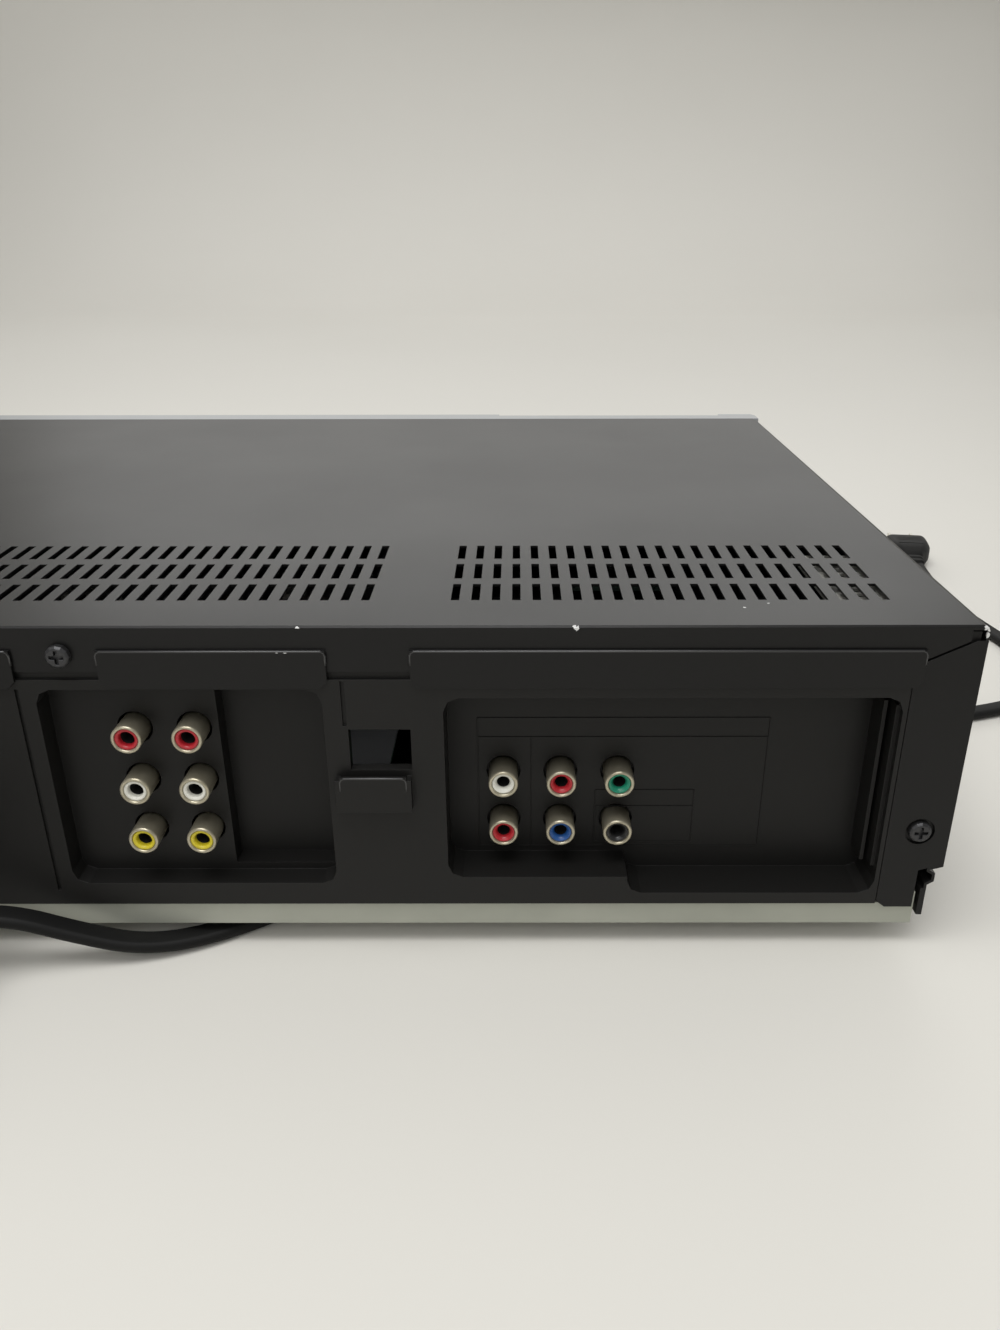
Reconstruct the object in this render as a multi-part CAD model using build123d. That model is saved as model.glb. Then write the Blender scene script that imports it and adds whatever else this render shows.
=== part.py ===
from build123d import *
import math
import os

# ---------------------------------------------------------------- driving dimensions (mm)
# Frame: +Z up, the front faces -Y, the jacks are on the rear (+Y). Z = 0 is the table.
COVER_W = 430.0            # top cover, side to side
COVER_TOP = 99.0           # top of the cover above the table
BODY_DEPTH = 288.0         # rear panel plane to the front of the fascia
HOOK_PROUD = 3.0           # the hook pocket stands this far behind the rear panel
BUTTON_PROUD = 0.8         # buttons stand this far in front of the fascia
REAR_Y = (BODY_DEPTH + BUTTON_PROUD - HOOK_PROUD) / 2
FRONT_Y = REAR_Y - BODY_DEPTH
COVER_DEPTH = BODY_DEPTH - 13.3    # cover, rear flange to front edge
COVER_FRONT_Y = REAR_Y - COVER_DEPTH
SHEET = 0.8                # steel sheet of the cover and the bottom plate
WALL = 2.5                 # moulded walls
GAP = 0.2                  # between pieces that only lie side by side
RUN = 0.05                 # radial running clearance of shafts and pins
AIR = 0.4                  # between moving pieces and what they pass
FOOT_H = 7.2               # foot height
PLATE_W = COVER_W - 12.0   # bottom plate, side to side
PANEL_LOW = 14.6           # lower edge of the rear panel above the table
PANEL_TOP = 84.3           # upper edge of the rear panel in the gaps between the tabs
FASCIA_W = COVER_W + 2.0
FASCIA_LOW = 8.0
FASCIA_WALL = 2.5
JACK_R = 4.15              # outside of a phono jack's sleeve
JACK_BORE = 3.25           # inside of the sleeve
JACK_PITCH_X = 15.9
JACK_PITCH_Z = 15.6
RECESS_DEPTH = 13.0        # rear recesses
DISC_X = -135.0            # centre line of the disc loader
VCR_X = 45.0               # centre line of the cassette deck
TRAY_TRAVEL = 145.0
GEAR_MODULE = 1.0
GEAR_TEETH = 20
BUTTON_TRAVEL = 1.2
CORD_W = 7.4               # flat two-core lead, width
CORD_T = 3.8               # and thickness

INNER_W = COVER_W / 2 - SHEET      # half width inside the cover
FLOOR_Z = FOOT_H + SHEET + GAP     # underside of the moulded chassis
RECESS_Y = REAR_Y - RECESS_DEPTH   # face of a recess's floor


def block(x0, x1, y0, y1, z0, z1):
    """A box between two corners."""
    size = (x1 - x0, y1 - y0, z1 - z0)
    return Pos((x0 + x1) / 2, (y0 + y1) / 2, (z0 + z1) / 2) * Box(*size)


def rod(radius, length, sides=0):
    """A cylinder about Z, or a regular prism where a number of sides is given."""
    if sides:
        return extrude(RegularPolygon(radius, sides), length / 2, both=True)
    return Cylinder(radius, length)


def rod_z(x, y, z0, z1, radius, sides=0):
    """An upright cylinder."""
    return Pos(x, y, (z0 + z1) / 2) * rod(radius, z1 - z0, sides)


def rod_y(x, z, y0, y1, radius, sides=0):
    """A cylinder that lies front to back."""
    return Pos(x, (y0 + y1) / 2, z) * Rot(90, 0, 0) * rod(radius, y1 - y0, sides)


def rod_x(y, z, x0, x1, radius):
    """A cylinder that lies side to side."""
    return Pos((x0 + x1) / 2, y, z) * Rot(0, 90, 0) * Cylinder(radius, x1 - x0)


def tube_y(x, z, y0, y1, outer, inner, sides):
    """A tube that lies front to back."""
    return rod_y(x, z, y0, y1, outer, sides) - rod_y(x, z, y0 - 1, y1 + 1, inner, sides)


def prism_y(points, y0, y1):
    """A prism on an outline of (x, z) points, from y0 to y1."""
    outline = make_face(Polyline(*[(x, y0, z) for x, z in points], close=True))
    return extrude(outline, y1 - y0, dir=(0, 1, 0))


def rounded_y(x0, x1, z0, z1, y0, y1, radius):
    """A prism with eased corners, seen from the front, from y0 to y1."""
    points = []
    for cx, cz, turn in ((x1, z1, 0), (x0, z1, 90), (x0, z0, 180), (x1, z0, 270)):
        ox = cx - math.copysign(radius, cx - (x0 + x1) / 2)
        oz = cz - math.copysign(radius, cz - (z0 + z1) / 2)
        for part in (0, 45, 90):
            angle = math.radians(turn + part)
            points.append((ox + radius * math.cos(angle), oz + radius * math.sin(angle)))
    return prism_y(points, y0, y1)


def folded(points, thickness):
    """The outline of a folded sheet, from the (x, z) points of its middle line."""
    headings = [math.atan2(b[1] - a[1], b[0] - a[0]) for a, b in zip(points, points[1:])]
    outer, inner = [], []
    for (x, z), first, second in zip(points, headings[:1] + headings, headings + headings[-1:]):
        middle = (first + second) / 2
        out = thickness / 2 / math.cos((second - first) / 2)
        outer.append((x - out * math.sin(middle), z + out * math.cos(middle)))
        inner.append((x + out * math.sin(middle), z - out * math.cos(middle)))
    return outer + inner[::-1]


def prism_z(points, z0, z1):
    """A prism on an outline of (x, y) points, from z0 to z1."""
    outline = make_face(Polyline(*[(x, y, z0) for x, y in points], close=True))
    return extrude(outline, z1 - z0, dir=(0, 0, 1))


def tooth_outline(module):
    """Half widths of a 20 degree tooth at root, pitch line and tip, with backlash."""
    slope = math.tan(math.radians(20))
    half = math.pi * module / 4 - 0.06
    return half + 1.25 * module * slope, half, half - 0.9 * module * slope


parts = {}

# ---------------------------------------------------------------- top cover
# One folded steel sheet: a U over the machine, then the rear flange with its three
# joggled tabs and the mitred side flanges.
SIDE_STEP_Z = 26.8         # the side wall steps in below this height
BEAD_R = 2.2
LIP_LOW = 10.8             # lower edge of the hemmed lip
LIP_IN = 3.6               # the lip stands this far inside the side wall
TOP_FLANGE = 12.5          # rear flange, below the top
SIDE_FLANGE = 16.3         # side flange width
SIDE_FLANGE_LOW = 13.5
TAB_LOW = 16.8             # lower edge of the tabs, below the top
TAB_HIGH = 6.4             # where the tabs joggle outwards, below the top
TABS = ((-200.0, -69.7), (-48.5, 9.4), (31.0, 198.0))
SLOT_W = 2.2
SLOT_L = 12.7
SLOT_PITCH = 5.447
SLOT_ROWS = (24.9, 42.4, 60.1)          # behind the rear edge
SLOT_RIGHT = (-194.7, 22)               # first slot and count, disc side
SLOT_LEFT = (-56.5, 34)                 # first slot and count, cassette side
COVER_SCREW_X = 18.6                    # screw in the gap between two tabs
COVER_SCREW_Z = COVER_TOP - 7.7
SIDE_SCREW_X = COVER_W / 2 - 8.3
SIDE_SCREW_Z = COVER_TOP - 60.5
SCREW_HOLE_R = 1.7
SIDE_HOLE_R = 4.0

side_x = COVER_W / 2 - SHEET / 2
lip_x = side_x - LIP_IN
step = SIDE_STEP_Z
bead_z = step - 1.2 - BEAD_R
top_z = COVER_TOP - SHEET / 2
half_path = [(side_x - 1.6, top_z), (side_x - 0.469, top_z - 0.469), (side_x, top_z - 1.6), (side_x, step + 0.4),
             (lip_x, step - 0.6), (lip_x, bead_z + BEAD_R), (lip_x + 0.8 * BEAD_R, bead_z + 0.5 * BEAD_R),
             (lip_x + 0.8 * BEAD_R, bead_z - 0.5 * BEAD_R), (lip_x, bead_z - BEAD_R), (lip_x, LIP_LOW)]
whole_path = [(-x, z) for x, z in half_path[::-1]] + half_path
u_shell = prism_y(folded(whole_path, SHEET), COVER_FRONT_Y, REAR_Y)
hem = block(lip_x - 1.5 * SHEET, lip_x - 0.4 * SHEET, COVER_FRONT_Y + 1, REAR_Y, LIP_LOW, LIP_LOW + 9)
top_cover = u_shell + hem + mirror(hem, Plane.YZ)

mitre_in = SIDE_FLANGE
half_w = COVER_W / 2 - SHEET
SEAM_HIGH = COVER_TOP - 2.6             # the mitre seam runs from the side wall here
SEAM_LOW = COVER_TOP - 9.9              # to here, at the inner end of the side flange
SEAM = 0.7
flange_half = [(half_w, COVER_TOP - SHEET), (half_w, SEAM_HIGH), (half_w - mitre_in + 1.2, SEAM_LOW),
               (half_w - mitre_in, COVER_TOP - TOP_FLANGE)]
flange = prism_y([(-x, z) for x, z in flange_half] + flange_half[::-1], REAR_Y - SHEET, REAR_Y)
side_flange = prism_y([(half_w, SEAM_HIGH - SEAM), (half_w, step + 0.8), (half_w - 6, step - 1),
                       (half_w - 6, SIDE_FLANGE_LOW), (half_w - mitre_in + 2.5, SIDE_FLANGE_LOW),
                       (half_w - mitre_in, SIDE_FLANGE_LOW + 2), (half_w - mitre_in, SEAM_LOW - 2.0),
                       (half_w - mitre_in + 1.2, SEAM_LOW - SEAM)], REAR_Y - SHEET, REAR_Y)
side_flange = side_flange - rod_y(SIDE_SCREW_X, SIDE_SCREW_Z, REAR_Y - 3, REAR_Y + 3, SIDE_HOLE_R)
top_cover = top_cover + flange + side_flange + mirror(side_flange, Plane.YZ)
rear_edge = [e for e in top_cover.edges().filter_by(Axis.X) if e.center().Y > REAR_Y - 0.01
             and e.center().Z > COVER_TOP - 0.01]
top_cover = chamfer(rear_edge, 0.5)
for sx in (-1, 1):
    x0, x1 = sorted((sx * (half_w - 3.6), sx * half_w))
    top_cover = top_cover - block(x0, x1, REAR_Y - SHEET - 1, REAR_Y + 1, COVER_TOP - 4.2, COVER_TOP - 1.3)
for x0, x1 in TABS:
    face = prism_y([(x0, COVER_TOP - TAB_HIGH), (x1, COVER_TOP - TAB_HIGH), (x1, COVER_TOP - TAB_LOW + 2),
                    (x1 - 2, COVER_TOP - TAB_LOW), (x0 + 2, COVER_TOP - TAB_LOW), (x0, COVER_TOP - TAB_LOW + 2)],
                   REAR_Y + GAP, REAR_Y + GAP + SHEET)
    joggle = block(x0, x1, REAR_Y - 0.1, REAR_Y + GAP + SHEET, COVER_TOP - TAB_HIGH - SHEET, COVER_TOP - TAB_HIGH)
    top_cover = top_cover + face + joggle
with BuildSketch(Plane.XY.offset(COVER_TOP + 1)) as slots:
    for row in SLOT_ROWS:
        for first, count in (SLOT_RIGHT, SLOT_LEFT):
            spots = [(first + i * SLOT_PITCH, REAR_Y - row) for i in range(count)]
            with Locations(*spots):
                Rectangle(SLOT_W, SLOT_L)
top_cover = top_cover - extrude(slots.sketch, -4)
top_cover = top_cover - rod_y(COVER_SCREW_X, COVER_SCREW_Z, REAR_Y - 3, REAR_Y + 3, SCREW_HOLE_R)
parts["top_cover"] = top_cover

# ---------------------------------------------------------------- rear panel and moulded chassis
# The rear panel with its recesses is one black moulding, and stands on the floor moulding.
PANEL_HALF = half_w - mitre_in - GAP
LEDGE_Y = REAR_Y - SHEET - 0.3          # face of the ledge behind the flanges
RECESS_WALL = 2.0
LEFT_RECESS = (-46.5, 27.0, 21.7, 81.5)
BOSS_X = -17.0                          # inner edge of the boss round the left jacks
BOSS_DEEP = 7.0                         # its face, in from the panel
RIGHT_RECESS = (-196.5, -77.7, 23.7, 79.0)
RIGHT_STEP_X = -127.5                   # the right recess is deeper below on this side
RIGHT_STEP_Z = 18.3
AERIAL_RECESS = (98.0, 146.0, 30.0, 76.0)
HOLE = (-69.0, -52.8, 58.0, 70.0)
HOOK = (-67.6, -49.9, 46.5, 57.0)
GLAND_X = 57.0
GLAND_Z = 32.0
GLAND_HOLE_R = 6.5
RIGHT_JACKS_X = -108.9
RIGHT_JACKS_Z = 42.5
LEFT_JACKS_X = -2.4
LEFT_JACKS_Z = 51.5
JACK_HOLE_R = JACK_R + 0.6

rear_panel = block(-PANEL_HALF, PANEL_HALF, REAR_Y - WALL, REAR_Y, PANEL_LOW, PANEL_TOP)
rear_panel = rear_panel + block(-INNER_W + 0.7, INNER_W - 0.7, LEDGE_Y - 2.2, LEDGE_Y, 30.0, COVER_TOP - SHEET - 1.2)


def recess(box, depth, wall):
    """The tub behind one rear recess and the hollow in it."""
    x0, x1, z0, z1 = box
    tub = rounded_y(x0 - wall, x1 + wall, z0 - wall, z1 + wall, REAR_Y - depth - wall, REAR_Y - 1, 4 + wall)
    hollow = rounded_y(x0, x1, z0, z1, REAR_Y - depth, REAR_Y + 4, 4)
    return tub, hollow


boxes = [LEFT_RECESS, RIGHT_RECESS, (RIGHT_RECESS[0], RIGHT_STEP_X, RIGHT_STEP_Z, 60.0), AERIAL_RECESS]
cuts = [recess(box, RECESS_DEPTH, RECESS_WALL) for box in boxes]
for tub, hollow in cuts:
    rear_panel = rear_panel + tub
for tub, hollow in cuts:
    rear_panel = rear_panel - hollow
# raised boss round the left jacks
boss_y = REAR_Y - BOSS_DEEP
rear_panel = rear_panel + prism_y([(BOSS_X, LEFT_RECESS[2] - 1), (BOSS_X, LEFT_RECESS[3] + 1), (LEFT_RECESS[1] + 1, LEFT_RECESS[3] + 1),
                                   (LEFT_RECESS[1] + 1, LEFT_RECESS[2] - 1)], RECESS_Y - 1.0, boss_y)
# sloping ledge with a step along the bottom of the left recess, ribs on the end walls
ledge_in = prism_z([(LEFT_RECESS[0] + 3, RECESS_Y - 0.5), (LEFT_RECESS[1] - 3, RECESS_Y - 0.5),
                    (LEFT_RECESS[1] - 1, RECESS_Y + 6), (LEFT_RECESS[0] + 1, RECESS_Y + 6)],
                   LEFT_RECESS[2] - 0.5, LEFT_RECESS[2] + 2.2)
rear_panel = rear_panel + ledge_in
for k in range(2):
    rib_x = RIGHT_RECESS[0] + 0.2 + 2.6 * k
    rear_panel = rear_panel + block(rib_x - 0.6, rib_x + 0.9 - 0.4 * k, RECESS_Y - 0.5, REAR_Y - 2.0 - 3.0 * k, 26.0, 76.0)
rear_panel = rear_panel - block(HOLE[0], HOLE[1], REAR_Y - 8, REAR_Y + 1, HOLE[2], HOLE[3])
hook = block(HOOK[0], HOOK[1], REAR_Y + HOOK_PROUD - 1.2, REAR_Y + HOOK_PROUD, HOOK[2], HOOK[3])
hook = hook + block(HOOK[0], HOOK[1], REAR_Y - 0.5, REAR_Y + HOOK_PROUD, HOOK[2], HOOK[2] + 1.2)
hook = hook + block(HOOK[0] - 1.2, HOOK[0], REAR_Y - 0.5, REAR_Y + HOOK_PROUD, HOOK[2], HOOK[3] - 0.8)
hook = hook + block(HOOK[1], HOOK[1] + 1.2, REAR_Y - 0.5, REAR_Y + HOOK_PROUD, HOOK[2], HOOK[3] - 0.8)
rear_panel = rear_panel + hook
for x, z0, z1 in ((31.5, 19.3, 81.6), (-52.0, HOLE[3] + 1, PANEL_TOP - 0.5)):
    rear_panel = rear_panel - block(x - 0.5, x + 0.5, REAR_Y - 0.8, REAR_Y + 1, z0, z1)
jack_spots = []
for i, colour in enumerate(("white", "red", "green")):
    jack_spots.append((RIGHT_JACKS_X + (1 - i) * JACK_PITCH_X, RIGHT_JACKS_Z + JACK_PITCH_Z / 2, colour, RECESS_Y + 8.0))
for i, colour in enumerate(("red", "blue", "black")):
    jack_spots.append((RIGHT_JACKS_X + (1 - i) * JACK_PITCH_X, RIGHT_JACKS_Z - JACK_PITCH_Z / 2, colour, RECESS_Y + 8.0))
for i in range(2):
    for k, colour in enumerate(("red", "white", "yellow")):
        jack_spots.append((LEFT_JACKS_X + (0.5 - i) * JACK_PITCH_X, LEFT_JACKS_Z + (1 - k) * JACK_PITCH_Z, colour,
                           RECESS_Y + 13.5))
for x, z, colour, y in jack_spots:
    rear_panel = rear_panel - rod_y(x, z, RECESS_Y - RECESS_WALL - 1, boss_y + 1, JACK_HOLE_R, 16)
AERIAL_X = 122.0
AERIAL_ZS = (64.0, 43.0)
AERIAL_R = 4.75
for z in AERIAL_ZS:
    rear_panel = rear_panel - rod_y(AERIAL_X, z, RECESS_Y - RECESS_WALL - 1, RECESS_Y + 1, AERIAL_R + 0.6, 16)
rear_panel = rear_panel - rod_y(GLAND_X, GLAND_Z, REAR_Y - 6, REAR_Y + 1, GLAND_HOLE_R)
rear_panel = rear_panel - rod_y(COVER_SCREW_X, COVER_SCREW_Z, REAR_Y - 6, REAR_Y + 1, SCREW_HOLE_R)
for sx in (-1, 1):
    rear_panel = rear_panel - rod_y(sx * SIDE_SCREW_X, SIDE_SCREW_Z, REAR_Y - 6, REAR_Y + 1, SCREW_HOLE_R)
parts["rear_panel"] = rear_panel
# floor of the moulding, with ribs, the side rails and the wall that carries the rear panel
FRAME_FRONT = COVER_FRONT_Y + 4
FLOOR_T = 1.4
RAIL_H = 3.2
floor_half = PLATE_W / 2 - 3.0
chassis = block(-floor_half, floor_half, FRAME_FRONT, REAR_Y - 3.0, FLOOR_Z, FLOOR_Z + FLOOR_T)
chassis = chassis + block(-floor_half, floor_half, REAR_Y - WALL - 2.1, REAR_Y - WALL - 0.05, FLOOR_Z, PANEL_LOW + 1.3)
for x in (2 - floor_half, -59.5, 150.5, floor_half - 2):
    chassis = chassis + block(x - 1.0, x + 1.0, FRAME_FRONT, REAR_Y - 3.0, FLOOR_Z, FLOOR_Z + RAIL_H)
for y in (FRAME_FRONT + 1.0, -10.0, 92.0):
    chassis = chassis + block(-floor_half, floor_half, y - 1.0, y + 1.0, FLOOR_Z, FLOOR_Z + RAIL_H)
for sx in (-1, 1):
    x0, x1 = sorted((sx * (floor_half - 1.0), sx * (floor_half + 1.2)))
    chassis = chassis + block(x0, x1, FRAME_FRONT, REAR_Y - 5.0, FLOOR_Z, 24.0)
parts["main_chassis"] = chassis

# ---------------------------------------------------------------- bottom plate and feet
plate = block(-PLATE_W / 2, PLATE_W / 2, COVER_FRONT_Y + 1, REAR_Y - 0.9, FOOT_H, FOOT_H + SHEET)
plate = plate + block(-PLATE_W / 2, PLATE_W / 2, REAR_Y - 0.9 - SHEET, REAR_Y - 0.9, FOOT_H, PANEL_LOW - GAP)
for sx in (-1, 1):
    edge = sx * (PLATE_W / 2 - SHEET / 2)
    plate = plate + block(edge - SHEET / 2, edge + SHEET / 2, COVER_FRONT_Y + 1, REAR_Y - 0.9, FOOT_H, 18.0)
FEET = [(sx * 175.0, y) for sx in (-1, 1) for y in (-105.0, 100.0)]
with BuildSketch(Plane.XY.offset(FOOT_H - 2)) as vents:
    for row in range(2):
        spots = [(-112.5 + i * 15.0, 40.0 + row * 30.0) for i in range(16)]
        with Locations(*spots):
            Rectangle(5.0, 22.0)
parts["bottom_plate"] = plate - extrude(vents.sketch, 6)
feet = []
for x, y in FEET:
    foot = rod_z(x, y, 0, FOOT_H - 0.05, 14.5, 20)
    feet.append(chamfer(foot.edges().group_by(Axis.Z)[0], 1.2))
parts["feet"] = Compound(children=feet)

# ---------------------------------------------------------------- cover screws
def screw(x, z, seat_y):
    """A cross-head screw whose head sits on seat_y and points to the rear."""
    head = rod_y(x, z, seat_y + 0.02, seat_y + 2.2, 3.1, 12)
    head = chamfer(head.edges().group_by(Axis.Y)[-1], 0.6)
    for w, h in ((0.9, 3.6), (3.6, 0.9)):
        head = head - block(x - w / 2, x + w / 2, seat_y + 1.1, seat_y + 3, z - h / 2, z + h / 2)
    return head + rod_y(x, z, seat_y - 5.0, seat_y + 0.1, 1.45, 8)


screws = [screw(COVER_SCREW_X, COVER_SCREW_Z, REAR_Y)]
screws += [screw(sx * SIDE_SCREW_X, SIDE_SCREW_Z, LEDGE_Y) for sx in (-1, 1)]
parts["cover_screws"] = Compound(children=screws)

# ---------------------------------------------------------------- jacks
HOUSING_BACK = RECESS_Y - RECESS_WALL - 12.0
HOUSING_FACE = RECESS_Y - RECESS_WALL - 0.2
BOARD_TOP = 14.6
sleeves = []
inserts = {"red": [], "white": [], "yellow": [], "green": [], "blue": [], "black": []}


def jack(x, z, colour, back, front):
    """One phono jack: a plated sleeve with its coloured insulator."""
    sleeves.append(tube_y(x, z, back, front, JACK_R, JACK_BORE, 12))
    inserts[colour].append(rod_y(x, z, back, front - 0.5, JACK_BORE - 0.05, 12))


housings = []
for z0, z1, xc, cols, rows in ((BOARD_TOP, RIGHT_JACKS_Z + 15.6, RIGHT_JACKS_X, 3, 2),
                               (BOARD_TOP, LEFT_JACKS_Z + 23.4, LEFT_JACKS_X, 2, 3)):
    half = cols * JACK_PITCH_X / 2
    housings.append(block(xc - half, xc + half, HOUSING_BACK, HOUSING_FACE, z0 + 0.05, z1))
housing = housings[0] + housings[1]
for x, z, colour, y in jack_spots:
    jack(x, z, colour, HOUSING_FACE + 0.02, y)

# ---------------------------------------------------------------- front panel
# A moulded shell with turned-back edges; the cover's front edge ends against it.
TRAY_DOOR = (DISC_X - 69.0, DISC_X + 69.0, 56.6, 78.0)
CASSETTE = (VCR_X - 98.0, VCR_X + 98.0, 56.5, 87.5)
WINDOW = (-48.0, 72.0, 21.0, 45.0)
HINGE_Y = FRONT_Y + 4.6     # pivot of the cassette door
HINGE_Z = 83.8
PIN_R = 1.3
LUG_X = 99.5               # bearing lugs, either side of the cassette's centre line
BUTTONS = {
    "power_button": (FASCIA_W / 2 - 37.0, 72.0, 18.0, 9.0),
    "disc_open_button": (29.0 - FASCIA_W / 2, 38.0, 16.0, 7.0),
    "rewind_button": (FASCIA_W / 2 - 120.0, 38.0, 14.0, 7.0),
    "tape_play_button": (FASCIA_W / 2 - 100.0, 38.0, 14.0, 7.0),
    "fast_forward_button": (FASCIA_W / 2 - 80.0, 38.0, 14.0, 7.0),
    "stop_eject_button": (FASCIA_W / 2 - 60.0, 38.0, 14.0, 7.0),
}
FRONT_JACKS = [(-124.0, "yellow"), (-108.1, "white"), (-92.2, "red")]
FRONT_JACK_Z = 30.0
RETURN_BACK = COVER_FRONT_Y - 0.25
shell = block(-FASCIA_W / 2, FASCIA_W / 2, FRONT_Y, RETURN_BACK, FASCIA_LOW, COVER_TOP)
shell = chamfer(shell.edges().filter_by(Axis.Z).group_by(Axis.Y)[0], 5.0, 3.0)
shell = chamfer(shell.edges().filter_by(Axis.X).group_by(Axis.Y)[0].sort_by(Axis.Z)[-1], 1.8)
shell = shell - block(-FASCIA_W / 2 + FASCIA_WALL, FASCIA_W / 2 - FASCIA_WALL, FRONT_Y + FASCIA_WALL, RETURN_BACK + 1,
                      FASCIA_LOW + FASCIA_WALL, COVER_TOP - FASCIA_WALL)
scoop = Pos(-143.0, FRONT_Y - 1.0, COVER_TOP + 3.2) * Rot(0, 90, 0) * Cylinder(6.4, 110.0)
shell = shell - scoop
door_hole = rounded_y(TRAY_DOOR[0] + 1.5, TRAY_DOOR[1] - 1.5, TRAY_DOOR[2] + 1.0, TRAY_DOOR[3] - 1.0, FRONT_Y - 1,
                      FRONT_Y + 6, 1.0)
door_seat = rounded_y(TRAY_DOOR[0] - 0.4, TRAY_DOOR[1] + 0.4, TRAY_DOOR[2] - 0.4, TRAY_DOOR[3] + 0.4, FRONT_Y - 1,
                      FRONT_Y + 1.4, 1.0)
shell = shell - door_hole - door_seat
shell = shell - rounded_y(CASSETTE[0], CASSETTE[1], CASSETTE[2], CASSETTE[3], FRONT_Y - 1, FRONT_Y + 6, 1.5)
shell = shell - rounded_y(WINDOW[0] + 2, WINDOW[1] - 2, WINDOW[2] + 2, WINDOW[3] - 2, FRONT_Y - 1, FRONT_Y + 6, 1.0)
shell = shell - rounded_y(WINDOW[0] - GAP, WINDOW[1] + GAP, WINDOW[2] - GAP, WINDOW[3] + GAP, FRONT_Y - 1, FRONT_Y + 1.2,
                          2.0)
groove = block(-FASCIA_W / 2 - 1, FASCIA_W / 2 + 1, FRONT_Y - 1, FRONT_Y + 0.8, 51.2, 52.4)
shell = shell - groove
for x, z, w, h in BUTTONS.values():
    shell = shell - block(x - w / 2 - AIR, x + w / 2 + AIR, FRONT_Y - 1, FRONT_Y + 6, z - h / 2 - AIR, z + h / 2 + AIR)
for x, colour in FRONT_JACKS:
    shell = shell - rod_y(x, FRONT_JACK_Z, FRONT_Y - 1, FRONT_Y + 6, JACK_R + 0.6, 16)
for sx in (-1, 1):
    x0, x1 = sorted((VCR_X + sx * LUG_X, VCR_X + sx * (LUG_X + 2.5)))
    shell = shell + block(x0, x1, FRONT_Y + FASCIA_WALL - 0.2, HINGE_Y + 3.5, HINGE_Z - 4, HINGE_Z + 3.5)
shell = shell - rod_x(HINGE_Y, HINGE_Z, VCR_X - LUG_X - 3, VCR_X + LUG_X + 3, PIN_R + RUN)
parts["front_panel"] = shell
window = rounded_y(WINDOW[0], WINDOW[1], WINDOW[2], WINDOW[3], FRONT_Y + 0.1, FRONT_Y + 1.15, 1.8)
parts["display_window"] = window

for name, (x, z, w, h) in BUTTONS.items():
    cap = block(x - w / 2, x + w / 2, FRONT_Y - BUTTON_PROUD, FRONT_Y + FASCIA_WALL + 0.3, z - h / 2, z + h / 2)
    cap = chamfer(cap.edges().group_by(Axis.Y)[0], 0.35)
    collar = block(x - w / 2 - 1.2, x + w / 2 + 1.2, FRONT_Y + FASCIA_WALL + 0.15, FRONT_Y + FASCIA_WALL + 1.2,
                   z - h / 2 - 1.2, z + h / 2 + 1.2)
    parts[name] = cap + collar + rod_y(x, z, FRONT_Y + FASCIA_WALL + 1.0, FRONT_Y + 10.5, 1.6, 8)

for x, colour in FRONT_JACKS:
    sleeves.append(tube_y(x, FRONT_JACK_Z, FRONT_Y + 0.2, FRONT_Y + 9.08, JACK_R, JACK_BORE, 12))
    inserts[colour].append(rod_y(x, FRONT_JACK_Z, FRONT_Y + 0.7, FRONT_Y + 9.08, JACK_BORE - 0.05, 12))
front_housing = block(FRONT_JACKS[0][0] - 8, FRONT_JACKS[-1][0] + 8, FRONT_Y + 9.1, FRONT_Y + 14, BOARD_TOP + 0.05, 38.5)
parts["jack_housings"] = Compound(children=(housing + front_housing).solids() + inserts.pop("black"))
parts["jack_sleeves"] = Compound(children=sleeves)
for colour, solids in inserts.items():
    parts["jack_inserts_" + colour] = Compound(children=solids)

# ---------------------------------------------------------------- boards
BOARD_T = 1.6
BOARD_Z = BOARD_TOP - BOARD_T
board = block(-200.0, -63.0, -118.0, 96.0, BOARD_Z, BOARD_TOP)
board = board + block(-200.0, 90.0, 96.0, 126.0, BOARD_Z, BOARD_TOP)
board = board + block(-140.0, -63.0, FRONT_Y + 8.6, -117.0, BOARD_Z, BOARD_TOP)
for x, y, w, d, h in ((-150, 20, 24, 24, 2.4), (-110, 60, 16, 10, 2.0), (-165, -50, 20, 14, 2.2), (-90, -20, 12, 12, 2.0),
                      (-120, -85, 30, 6, 6.0), (-175, 70, 12, 18, 4.0)):
    board = board + block(x - w / 2, x + w / 2, y - d / 2, y + d / 2, BOARD_TOP - 0.2, BOARD_TOP + h)
parts["main_board"] = board
power = block(153.0, 202.0, -70.0, 90.0, BOARD_Z, BOARD_TOP)
power = power + block(160.0, 192.0, -10.0, 22.0, BOARD_TOP - 0.2, 46.0)
for x, y, r, h in ((166.0, -50.0, 9.0, 34.0), (190.0, -45.0, 6.0, 22.0), (164.0, 60.0, 5.0, 18.0), (182.0, 66.0, 4.0, 14.0)):
    power = power + rod_z(x, y, BOARD_TOP - 0.2, BOARD_TOP + h, r, 12)
sink = block(158.0, 196.0, 40.0, 41.6, BOARD_TOP + 0.05, 58.0)
for i in range(7):
    sink = sink + block(158.0 + 6.0 * i, 159.2 + 6.0 * i, 28.0, 41.0, BOARD_TOP + 0.05, 58.0)
parts["power_board"] = Compound(children=[power, sink])
KEY_Y = FRONT_Y + 12.0
keys = block(74.0, 204.0, KEY_Y, KEY_Y + BOARD_T, 18.0, 49.0) + block(-54.0, 75.0, KEY_Y, KEY_Y + BOARD_T, 16.0, 49.0)
keys = keys + block(-44.0, 66.0, FRONT_Y + 4.0, KEY_Y + 0.2, 24.0, 42.0)
keys = keys + block(168.0, 192.0, KEY_Y, KEY_Y + BOARD_T, 48.0, 82.0)
keys_left = block(-198.0, -150.0, KEY_Y, KEY_Y + BOARD_T, 24.0, 49.0)
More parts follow.
